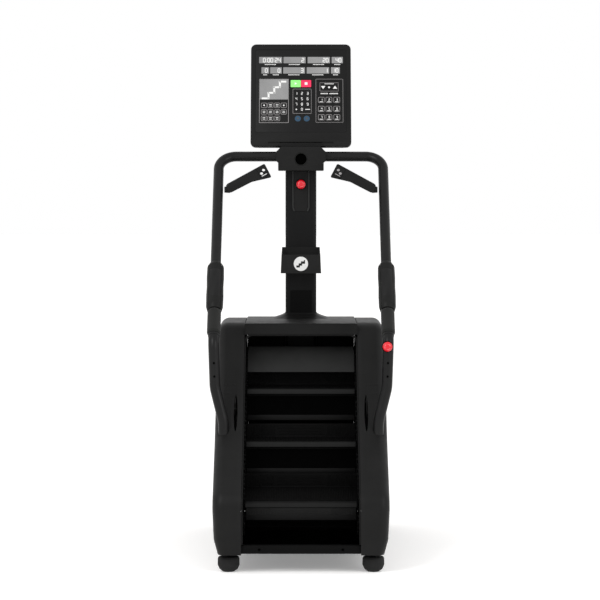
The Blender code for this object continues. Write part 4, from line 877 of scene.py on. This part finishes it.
# ---------------------------------------------------------------- hub, handrails and grips
HUB_LOW, HUB_HIGH, _ = box_of("console_hub")
RAIL_Y = 0.34
RAIL_Z = 1.664
RAIL_X = box_of("pulse_grip_right")[2].x
POST_BEND_Z = 0.90
PORT_Z = 1.652
HUB_TOP = 1.707
half_hub = [(0.099, HUB_LOW.z), (0.099, HUB_TOP - 0.070), (HUB_HIGH.x, HUB_TOP - 0.064),
    (HUB_HIGH.x, HUB_TOP - 0.023), (0.085, HUB_TOP)]
hub_shape = fillet(half_hub + [(-x, z) for x, z in reversed(half_hub)],
    [0.003, 0.003, 0.004, 0.006, 0.004, 0.004, 0.006, 0.004, 0.003, 0.003], 6)
hub = plate("hub_shell", [hub_shape], HUB_LOW.y, HUB_HIGH.y, "XZ", 0.003, 4)
port = turned("port", rod(0.0265, -0.01, 0.018), (0.0, HUB_LOW.y, PORT_Z), "Y")
TILT = math.radians(20.0)
LENGTH = 0.482
CONSOLE_Y = 0.325
TOTAL = 2.1614
CONSOLE = Matrix.Translation((0.0, CONSOLE_Y, TOTAL - LENGTH * math.cos(TILT))) @ Matrix.Rotation(-TILT, 4,
    "X")
above = block("above", (-0.3, -0.08, -0.001), (0.3, 0.3, 0.3), 0.0001, 1)
above.matrix_world = CONSOLE
show(cut(hub, port, above), "black_plastic", "console_hub")
ring = turned("port_ring", arc_profile([(0.0245, 0.0), (0.0275, -0.0022), (0.0290, 0.0), (0.0290, 0.002),
    (0.0245, 0.002)], 0.0005), (0.0, HUB_LOW.y, PORT_Z), "Y")
show(ring, "black_plastic")
# the port's floor and slats in near-black: painted shade inside its hollow
show(turned("port_floor", rod(0.0255, 0.0135, 0.0175, 0.0005), (0.0, HUB_LOW.y, PORT_Z), "Y"), "painted_shade_black")
grille = []
for k in range(7):
    x = -0.018 + 0.006 * k
    tall = math.sqrt(max(0.023 ** 2 - x * x, 0.0))
    grille.append(block("slat", (x - 0.0009, HUB_LOW.y + 0.0105, PORT_Z - tall),
        (x + 0.0009, HUB_LOW.y + 0.014, PORT_Z + tall), 0.0005, 2))
show(joined("port_grille", grille), "painted_shade_black")

slope = Vector((0.0, RAIL_Y - POST_Y, RAIL_Z - POST_BEND_Z)).normalized()
lean = math.atan2(slope.y, slope.z)
ALONG = Matrix.Rotation(-lean, 4, "X")


def rail_point(height):
    """The point on the sloping rail at a height."""
    share = (RAIL_Z - height) / (RAIL_Z - POST_BEND_Z)
    return RAIL_Y + (POST_Y - RAIL_Y) * share


JOINT_Z = 0.96
CLAMP_Z = 0.925
GRIP_HALF = (1.21 - 1.022) / slope.z / 2
SLEEVE_HALF = (1.02 - 0.93) / slope.z / 2
for side, sign in SIDES:
    x = sign * RAIL_X
    joint = Vector((x, rail_point(JOINT_Z), JOINT_Z))
    corners = [(sign * 0.06, RAIL_Y, RAIL_Z), (x, RAIL_Y, RAIL_Z), tuple(joint)]
    show(tube(f"rail_{side}", fillet(corners, [0.0, 0.075, 0.0], 20, False), TUBE_R), "painted_steel",
        f"handrail_{side}")
    end_x = sign * POST_X
    mid_x = sign * POST_MID_X
    corners = [tuple(joint), (x, POST_Y, POST_BEND_Z), (mid_x, POST_Y, 0.715), (end_x, POST_END_Y, 0.575),
        (end_x, POST_END_Y, 0.517)]
    show(tube(f"post_{side}", fillet(corners, [0.0, 0.07, 0.15, 0.15, 0.0], 16, False), TUBE_R),
        "painted_steel", f"lower_post_{side}")
    for k, z in enumerate((0.817, 0.762)):
        button_head(f"post_bolt_{side}_{k}", (mid_x + sign * (z - 0.715) * 0.0324, POST_Y - TUBE_R - 0.0002,
            z), 0.0045, "painted_shade_black")
    show(turned(f"rail_clamp_{side}", arc_profile([(TUBE_R + 0.0002, 0.004), (TUBE_R + 0.0014, 0.004),
        (TUBE_R + 0.0014, -0.004), (TUBE_R + 0.0002, -0.004)], 0.0005), (x, rail_point(CLAMP_Z), CLAMP_Z),
        matrix=ALONG), "painted_steel")
    low, high, mid = box_of(f"pulse_grip_{side}")
    grip_r = (high.x - low.x) / 2
    half = GRIP_HALF
    placed = Matrix.Translation(mid) @ ALONG
    grip = turned("grip", fillet([(TUBE_R + 0.0003, half), (grip_r * 0.66, half),
        (grip_r * 0.97, half - 0.022), (grip_r, half * 0.4), (grip_r * 0.965, 0.0), (grip_r, -half * 0.4),
        (grip_r * 0.97, -half + 0.022), (grip_r * 0.82, -half), (TUBE_R + 0.0003, -half)],
        [0.0, 0.004, 0.02, 0.05, 0.05, 0.05, 0.02, 0.004, 0.0], 6, False), mid, matrix=ALONG)
    groove = joined("groove", [block("g", (-0.0007 + dx, -0.06, -half - 0.01),
        (0.0007 + dx, 0.06, half + 0.01), 0.0002, 1) for dx in (-grip_r * 0.72, grip_r * 0.72)])
    groove.matrix_world = placed
    grip.name = f"grip_shell_{side}"
    show(cut(grip, groove), "grip", f"pulse_grip_{side}")
    for label, face in (("front", -1.0), ("back", 1.0)):
        rows = []
        for w in (-0.075, -0.067, 0.0, 0.067, 0.075):
            tuck = 0.0 if abs(w) < 0.07 else 0.0016
            bow = grip_r * (0.965 if w == 0.0 else 0.99)
            rows.append([((bow + 0.0012 - tuck) * math.sin(a), face * (bow + 0.0012 - tuck) * math.cos(a),
                w) for a in [-0.62 + 0.124 * k for k in range(11)]])
        sensor = loft(f"sensor_{label}_{side}", rows, closed=False, caps=False)
        sensor.matrix_world = placed
        show(sensor, "sensor")
    low, high, mid = box_of(f"foam_sleeve_{side}")
    r = (high.x - low.x) / 2
    half = SLEEVE_HALF
    sleeve = turned(f"sleeve_{side}", fillet([(TUBE_R + 0.0003, half), (r * 0.94, half), (r, half - 0.006),
        (r, 0.0), (r, -half + 0.010), (r * 0.86, -half), (TUBE_R + 0.0003, -half)],
        [0.0, 0.003, 0.004, 0.01, 0.007, 0.004, 0.0], 6, False), mid, matrix=ALONG)
    show(sleeve, "foam_grip", f"foam_sleeve_{side}")

# ---------------------------------------------------------------- holder
H_LOW, H_HIGH, H_MID = box_of("bottle_holder")
FRONT_TOP = 1.238
rings = []
for z, wide in ((H_LOW.z, H_HIGH.x), (FRONT_TOP, H_HIGH.x - 0.0035), (H_HIGH.z, H_HIGH.x - 0.006)):
    rings.append([(px, py, z) for px, py in rounded((0.0, H_MID.y), 2 * wide, H_HIGH.y - H_LOW.y, 0.009,
        6)])
trough = loft("trough", rings)
pocket = block("pocket", (H_LOW.x + 0.011, H_LOW.y + 0.004, H_LOW.z + 0.004),
    (H_HIGH.x - 0.011, H_HIGH.y - 0.004, H_HIGH.z + 0.05), 0.006)
notch = plate("notch", [fillet([(H_LOW.y - 0.01, FRONT_TOP), (H_MID.y - 0.004, FRONT_TOP),
    (H_MID.y + 0.004, H_HIGH.z + 0.01), (H_LOW.y - 0.01, H_HIGH.z + 0.01)], 0.004)], -0.2, 0.2, "YZ")
show(cut(trough, pocket, notch), "black_plastic", "bottle_holder")
show(block("holder_mat", (H_LOW.x + 0.013, H_LOW.y + 0.007, H_LOW.z + 0.0041),
    (H_HIGH.x - 0.013, H_HIGH.y - 0.007, H_LOW.z + 0.0056), 0.0006), "rubber")
BADGE_Z = 1.1985
stairs = [(-0.022, -0.018), (-0.022, -0.008), (-0.011, -0.008), (-0.011, 0.002), (0.0, 0.002), (0.0, 0.012),
    (0.014, 0.012), (0.014, 0.018), (0.020, 0.018), (0.020, 0.0), (0.006, 0.0), (0.006, -0.009),
    (-0.005, -0.009), (-0.005, -0.018)]
disc = plate("holder_mark", [circle((0.0, BADGE_Z), 0.031, 48),
    [(x * 0.9, BADGE_Z + z * 0.9) for x, z in stairs]], H_LOW.y - 0.0016, H_LOW.y - 0.0002, "XZ", 0.0003, 2)
show(disc, "white_print")

# ---------------------------------------------------------------- control arms
ARM_Z = 1.52
for side, sign in SIDES:
    node = f"control_arm_{side}"
    low, high, _ = box_of(node)
    arm_y = rail_point(ARM_Z)
    face = low.y
    outline = [(0.325, 0.021), (0.157, 0.1123), (0.1262, 0.053), (0.212, 0.033), (0.315, -0.02)]
    shape = fillet([(sign * x, ARM_Z + z) for x, z in outline], [0.016, 0.006, 0.006, 0.04, 0.016], 10)
    arm = plate("arm", [shape], low.y, high.y, "XZ", 0.004, 4)
    key_low, key_high, key_mid = box_of(f"arm_key_{side}")
    angle = math.radians(28.5)
    along = Vector((-sign * math.cos(angle), math.sin(angle)))
    across = Vector((along.y, -along.x)) * sign
    centre = Vector((key_mid.x, key_mid.z))

    def at(u, v):
        """A point of the arm's face, along and across it."""
        spot = centre + along * u + across * v
        return (spot.x, spot.y)

    def pad(u, low_v, high_v, radius):
        """A rounded rectangle on the arm's face."""
        return fillet([at(a, b) for a, b in rectangle(-u, low_v, u, high_v)], radius)

    pocket = plate("pocket", [pad(0.0197, -0.0227, 0.0227, 0.002)], face - 0.004, face + 0.0045, "XZ")
    arm = cut(arm, pocket)
    neck = turned("neck", arc_profile([(0.0, 0.33), (0.013, 0.33), (0.014, 0.315), (0.0145, 0.305),
        (0.0, 0.305)], 0.002), (0.0, arm_y, ARM_Z), count=40, matrix=outward(sign))
    show(joined(f"arm_{side}", [arm, neck]), "black_plastic", node)
    key = plate(f"arm_pad_{side}", [pad(0.019, -0.022, 0.022, 0.0025)], key_low.y, key_high.y, "XZ", 0.0009)
    show(key, "black_plastic", f"arm_key_{side}")
    body = BODY_OF[f"arm_key_{side}"]
    icons = []
    for u, v, r in ((0.008, 0.004, 0.0062), (-0.008, -0.003, 0.0062)):
        icons.append(plate("icon", [circle(at(u * 0.9, v * 1.3), r, 24, 0.8)], key_low.y - 0.0005,
            key_low.y + 0.0002, "XZ", 0.0001, 1))
    icons.append(plate("bar", [pad(0.012, -0.0165, -0.0135, 0.001)], key_low.y - 0.0005, key_low.y + 0.0002,
        "XZ", 0.0001, 1))
    show(joined(f"arm_icons_{side}", icons), "white_print" if sign < 0 else "grey_print", body=body)

# ---------------------------------------------------------------- console
WIDTH = 0.44
INK = 0.00022
INK_WIDE = 0.985
INK_RIGHT = 0.0038
INK_DOWN = 0.0045


def on_face(item):
    """Puts a piece made in the face's own axes on the console."""
    item.matrix_world = CONSOLE @ item.matrix_world
    return item


bezel = plate("bezel", [rounded((0.0, LENGTH / 2), WIDTH, LENGTH, 0.024, 12)], 0.0, 0.022, "XZ", 0.004, 5)
OVERLAY_MID = 0.066 + 0.39 / 2
seat = plate("seat", [rounded((0.0, OVERLAY_MID), 0.399, 0.391, 0.008)], -0.01, 0.0028, "XZ")
ledge = plate("ledge", [rounded((0.0, 0.0160), 0.286, 0.0085, 0.004)], -0.01, 0.0035, "XZ")
ledge_deep = plate("ledge_deep", [rounded((0.0, 0.0160), 0.185, 0.0088, 0.004)], -0.01, 0.0065, "XZ")
lip = plate("lip", [rounded((0.0, 0.0045), 0.20, 0.006, 0.0028)], -0.01, 0.002, "XZ")
bezel = cut(bezel, seat, ledge, ledge_deep, lip)
bezel.name = "bezel_frame"
show(on_face(bezel), "black_plastic", "console_bezel")

key_low, key_high, key_mid = box_of("start_key")
_, stop_high, stop_mid = box_of("stop_key")
face_back = CONSOLE.inverted()
key_t = (face_back @ key_mid).z
KEY_W = key_high.x - key_low.x
KEY_H = 0.033
film = plate("film", [rounded((0.0, OVERLAY_MID), 0.398, 0.39, 0.008)], 0.0, 0.0027, "XZ", 0.0003, 2)
window = plate("window", [rounded(((key_mid.x + stop_mid.x) / 2, key_t), stop_high.x - key_low.x + 0.0015,
    KEY_H + 0.0015, 0.002)], -0.01, 0.01, "XZ")
film = cut(film, window)
film.name = "overlay_film"
show(on_face(film), "display", "console_overlay")
# the start and stop caps carry the painted glow
for name, node, look in (("start_cap", "start_key", "green_plastic"), ("stop_cap", "stop_key", "red_key_painted_glow")):
    mid_x = box_of(node)[2].x
    cap = plate(name, [rounded((mid_x, key_t), KEY_W, KEY_H, 0.003)], -0.001, 0.003, "XZ", 0.0007)
    show(on_face(cap), look, node)


def ink(name, look, shapes, body="root", raised=0.0):
    """Printed shapes on the console's face, each an outline or an outline with a hole."""
    bm = bmesh.new()
    for shape in shapes:
        loops = shape if isinstance(shape[0][0], tuple) else [shape]
        if body == "root":
            loops = [[(x * INK_WIDE + INK_RIGHT, t - INK_DOWN) for x, t in loop] for loop in loops]
        top = [[bm.verts.new((x, -INK - raised, t)) for x, t in loop] for loop in loops]
        base = [[bm.verts.new((x, 0.0001, t)) for x, t in loop] for loop in loops]
        for high, low in zip(top, base):
            for i in range(len(high)):
                j = (i + 1) % len(high)
                bm.faces.new((high[i], high[j], low[j], low[i]))
        if len(loops) == 1:
            bm.faces.new(top[0])
        else:
            for i in range(len(top[0])):
                j = (i + 1) % len(top[0])
                bm.faces.new((top[0][i], top[0][j], top[1][j], top[1][i]))
    return show(on_face(from_bmesh(name, bm)), look, body=body)


def frame_of(middle, width, height, radius, line):
    """A rounded outline drawn with a line of some width."""
    return [rounded(middle, width, height, radius, 4), rounded(middle, width - 2 * line, height - 2 * line,
        max(radius - line, 0.0004), 4)]


def bar(x, t, width, height):
    """A bar of print."""
    return rounded((x, t), width, height, min(width, height) * 0.2, 2)


SEGMENTS = {"0": "abcdef",
    "1": "bc",
    "2": "abged",
    "3": "abgcd",
    "4": "fgbc",
    "5": "afgcd",
    "6": "afgedc",
    "7": "abc",
    "8": "abcdefg",
    "9": "abcdfg"}


def digit(mark, x, t, height):
    """A seven-segment digit whose lower left corner is given."""
    w = height * 0.5
    line = height * 0.18
    half = height / 2
    spots = {"a": (w / 2, height, w, line), "g": (w / 2, half, w, line), "d": (w / 2, 0.0, w, line),
        "f": (0.0, half * 1.5, line, half), "b": (w, half * 1.5, line, half),
        "e": (0.0, half * 0.5, line, half), "c": (w, half * 0.5, line, half)}
    return [bar(x + spots[s][0], t + spots[s][1], spots[s][2], spots[s][3]) for s in SEGMENTS[mark]]


def number(marks, right, t, height):
    """Digits set against a right edge."""
    made = []
    x = right
    for mark in reversed(marks):
        if mark == ":":
            x -= height * 0.34
            made += [bar(x + height * 0.1, t + height * share, height * 0.14, height * 0.14)
                for share in (0.25, 0.75)]
        else:
            x -= height * 0.74
            made += digit(mark, x, t, height)
    return made


S = 0.982  # the print's height on the face against its first layout
READOUTS = ((-0.1906, -0.0878, 0.4026, 0.4329, "0:00:24"),
    (-0.0816, 0.0173, 0.4026, 0.4329, "2"),
    (0.0262, 0.126, 0.4026, 0.4329, "20"),
    (0.1339, 0.1837, 0.4026, 0.4329, "40"),
    (-0.1801, -0.1461, 0.3527, 0.3829, "0"),
    (-0.1408, -0.0894, 0.3527, 0.3829, "0"),
    (-0.0828, 0.0142, 0.3527, 0.3829, "3"),
    (0.0221, 0.1222, 0.3527, 0.3829, "1"),
    (0.1306, 0.1701, 0.3527, 0.3829, "10"))
windows, digits, labels = [], [], []
for left, right, low_t, high_t, marks in READOUTS:
    mid = ((left + right) / 2, (low_t + high_t) / 2 * S)
    windows.append(rounded(mid, right - left, (high_t - low_t) * S, 0.0012, 3))
    digits += number(marks, right - 0.0035, (low_t + 0.0052) * S, 0.0185)
    width = min((right - left) * 0.55, 0.052)
    x = mid[0] - width / 2
    while x < mid[0] + width / 2 - 0.002:
        labels.append(bar(x + 0.0019, (low_t - 0.0062) * S, 0.0030, 0.0044))
        x += 0.0046
ink("readout_windows", "lcd", windows)
ink("readout_digits", "white_print", digits, raised=0.00015)
ink("readout_labels", "white_print", labels)

box_l, box_r, box_t0, box_t1 = -0.1895, -0.0585, 0.1160, 0.3265
mid = ((box_l + box_r) / 2, (box_t0 + box_t1) / 2 * S)
frames = [frame_of(mid, box_r - box_l, (box_t1 - box_t0) * S, 0.002, 0.0018)]
frames.append(frame_of((0.1231, 0.2222 * S), 0.1215, 0.2085 * S, 0.002, 0.0012))
frames.append(frame_of((0.0014, 0.2195 * S), 0.0828, 0.1182 * S, 0.003, 0.0012))
ink("panel_lines", "grey_print", frames)
ink("stair_screen", "lcd", [rounded((mid[0], 0.2768 * S), 0.1294, 0.0982 * S, 0.0015, 3)])
tread_w, line_w = 0.0262, 0.0085
stair_lines = []
for k in range(4):
    x = -0.1785 + k * 0.0252
    t = (0.2330 + k * 0.0268) * S
    stair_lines.append(bar(x + tread_w / 2 + 0.004, t, tread_w + 0.008, line_w))
    if k < 3:
        stair_lines.append(bar(x + tread_w + 0.0045, t + 0.0132, line_w, 0.0345))
ink("stair_picture", "white_print", stair_lines, raised=0.00015)

key_lines, key_marks = [], []
LEFT_ROWS = ((0.1997, 4), (0.1679, 4), (0.1372, 3))
for row, (t, count) in enumerate(LEFT_ROWS):
    for k in range(count):
        spot = ((-0.1678, -0.1392, -0.1097, -0.0802)[k], t * S)
        key_lines.append(frame_of(spot, 0.0262, 0.0235, 0.0055, 0.0016))
        if row == 0 and k in (0, 3):
            key_marks.append(circle(spot, 0.0036, 12))
        else:
            key_marks += [bar(spot[0], spot[1] + 0.0034 * s, 0.0118, 0.0024) for s in (-1, 1)]
RIGHT_ROWS = (0.2258, 0.1826, 0.1424)
for row, t in enumerate(RIGHT_ROWS):
    for k in range(3):
        spot = ((0.0868, 0.1206, 0.1556)[k], t * S)
        key_lines.append(frame_of(spot, 0.0285, 0.027, 0.005, 0.0016))
        key_marks += number(str(1 + k + 3 * row), spot[0] + 0.0062, spot[1] - 0.0035, 0.0095)
        key_marks.append(bar(spot[0], spot[1] - 0.0088, 0.0150, 0.0026))
key_lines.append(frame_of((0.1217, 0.2880 * S), 0.0828, 0.0415 * S, 0.002, 0.0012))
for x, t, flip in ((0.0952, 0.2860, -1), (0.1482, 0.2860, 1)):
    key_marks.append([(x - 0.0098, t * S - 0.0062 * flip), (x + 0.0098, t * S - 0.0062 * flip),
        (x, t * S + 0.0078 * flip)])
key_marks.append(circle((0.1217, 0.2862 * S), 0.0045, 16))
for k in range(9):
    key_marks.append(bar(0.1040 + 0.0047 * k - 0.0004, 0.3030 * S, 0.0032, 0.0040))
for k in range(14):
    if k != 6:
        key_marks.append(bar(0.0862 + 0.0056 * k, 0.2560 * S, 0.0042, 0.0052))
ink("key_lines", "grey_print", key_lines)
KEYPAD = (("1", "2", "3"), ("4", "5", "6"), ("7", "8", "9"), ("", "0", ""))
for row, marks in enumerate(KEYPAD):
    for k, mark in enumerate(marks):
        spot = ((-0.0243, 0.0004, 0.026)[k], (0.2567, 0.231, 0.2049, 0.1803)[row] * S)
        if mark:
            key_marks += number(mark, spot[0] + 0.0058, spot[1] - 0.0056, 0.0115)
        elif k == 0:
            key_marks.append(circle(spot, 0.0034, 12))
        else:
            key_marks.append(bar(spot[0], spot[1], 0.0205, 0.0036))
ink("key_marks", "white_print", key_marks)
ink("blue_keys", "blue_print", [circle((x, 0.1363 * S), 0.0135, 32) for x in (-0.0176, 0.022)])
ink("blue_key_marks", "dim_print", [circle((x, 0.1375 * S), 0.0045, 16) for x in (-0.0176, 0.022)],
    raised=0.00015)
mid_x = box_of("start_key")[2].x
ink("start_mark", "white_print", [[(mid_x - 0.0045, key_t - 0.006), (mid_x + 0.0065, key_t),
    (mid_x - 0.0045, key_t + 0.006)]], BODY_OF["start_key"], 0.001)
mid_x = box_of("stop_key")[2].x
ink("stop_mark", "white_print", [rounded((mid_x, key_t), 0.0125, 0.0125, 0.002, 3)], BODY_OF["stop_key"],
    0.001)

SCREW_SPOTS = [(x, t) for x in (-0.17, 0.17) for t in (0.045, 0.437)]
back = plate("back", [rounded((0.0, LENGTH / 2), WIDTH - 0.028, LENGTH - 0.028, 0.024, 12)], 0.0223, 0.0673,
    "XZ", 0.012, 6)
tools = [plate("vent", [rounded((-0.09 + 0.018 * k, 0.36), 0.006, 0.07, 0.0028)], 0.062, 0.08, "XZ")
    for k in range(11)]
tools += [plate("well", [circle((x, t), 0.008, 24)], 0.060, 0.08, "XZ") for x, t in SCREW_SPOTS]
back = cut(back, *tools)
back.name = "console_back"
show(on_face(back), "black_plastic", "console_housing")
screws = [turned("screw", arc_profile([(0.0, 0.0), (0.0052, 0.0), (0.0056, -0.0035), (0.0, -0.0035)],
    0.0006), (x, 0.0645, t), "Y") for x, t in SCREW_SPOTS]
show(on_face(joined("console_screws", screws)), "painted_steel")

# ---------------------------------------------------------------- CAD nodes that stay in view
# the CAD parts left in view sit inside the body: painted steel takes its darker copy and bare steel turns
# blackened, as painted shade
PAINTED_SHADE_LOOKS = {"painted_steel": "painted_shade_steel", "bare_steel": "black_steel"}
for node, item in frame["nodes"].items():
    if not item.hide_render:
        item.data.materials.clear()
        item.data.materials.append(LOOKS[PAINTED_SHADE_LOOKS.get(SLOT_OF[node], SLOT_OF[node])])
        bevel = item.modifiers.new("edge", "BEVEL")
        bevel.width = 0.0008
        bevel.segments = 2
        bevel.limit_method = "ANGLE"
        bevel.angle_limit = math.radians(40.0)

# ---------------------------------------------------------------- floor, light and camera
FLOOR_GLOW = 0.24
floor_look = bpy.data.materials.new("floor")
floor_look.use_nodes = True
floor_inputs = floor_look.node_tree.nodes["Principled BSDF"].inputs
floor_inputs["Base Color"].default_value = (0.9, 0.89, 0.88, 1.0)
floor_inputs["Roughness"].default_value = 0.85
floor_inputs["Emission Color"].default_value = (1.0, 1.0, 1.0, 1.0)
floor_inputs["Emission Strength"].default_value = FLOOR_GLOW
bm = bmesh.new()
bmesh.ops.create_grid(bm, x_segments=1, y_segments=1, size=60.0)
floor = from_bmesh("floor", bm)
floor.data.materials.append(floor_look)

world = bpy.data.worlds.new("studio")
bpy.context.scene.world = world
world.use_nodes = True
backdrop = world.node_tree.nodes["Background"].inputs
backdrop["Color"].default_value = (1.0, 1.0, 1.0, 1.0)
backdrop["Strength"].default_value = 1.0


def area(name, where, target, size, power):
    """A soft light."""
    data = bpy.data.lights.new(name, "AREA")
    data.shape = "RECTANGLE"
    data.size, data.size_y = size
    data.energy = power
    lamp = link(name, data)
    lamp.location = where
    lamp.rotation_euler = (Vector(target) - Vector(where)).to_track_quat("-Z", "Y").to_euler()
    return lamp


area("key_light", (-2.6, -4.0, 4.2), (0.0, 0.0, 1.0), (1.6, 2.2), 120.0)
area("fill_light", (3.4, -3.2, 2.6), (0.0, 0.0, 1.0), (2.0, 2.6), 60.0)

camera_data = bpy.data.cameras.new("camera")
camera_data.sensor_width = 36.0
camera_data.lens = 143.4
camera = link("camera", camera_data)
camera.location = (-0.004, -10.11, 1.55)
camera.rotation_euler = (math.pi / 2 - math.radians(2.81), 0.0, 0.0)
bpy.context.scene.camera = camera
bpy.context.scene.view_settings.view_transform = "Standard"
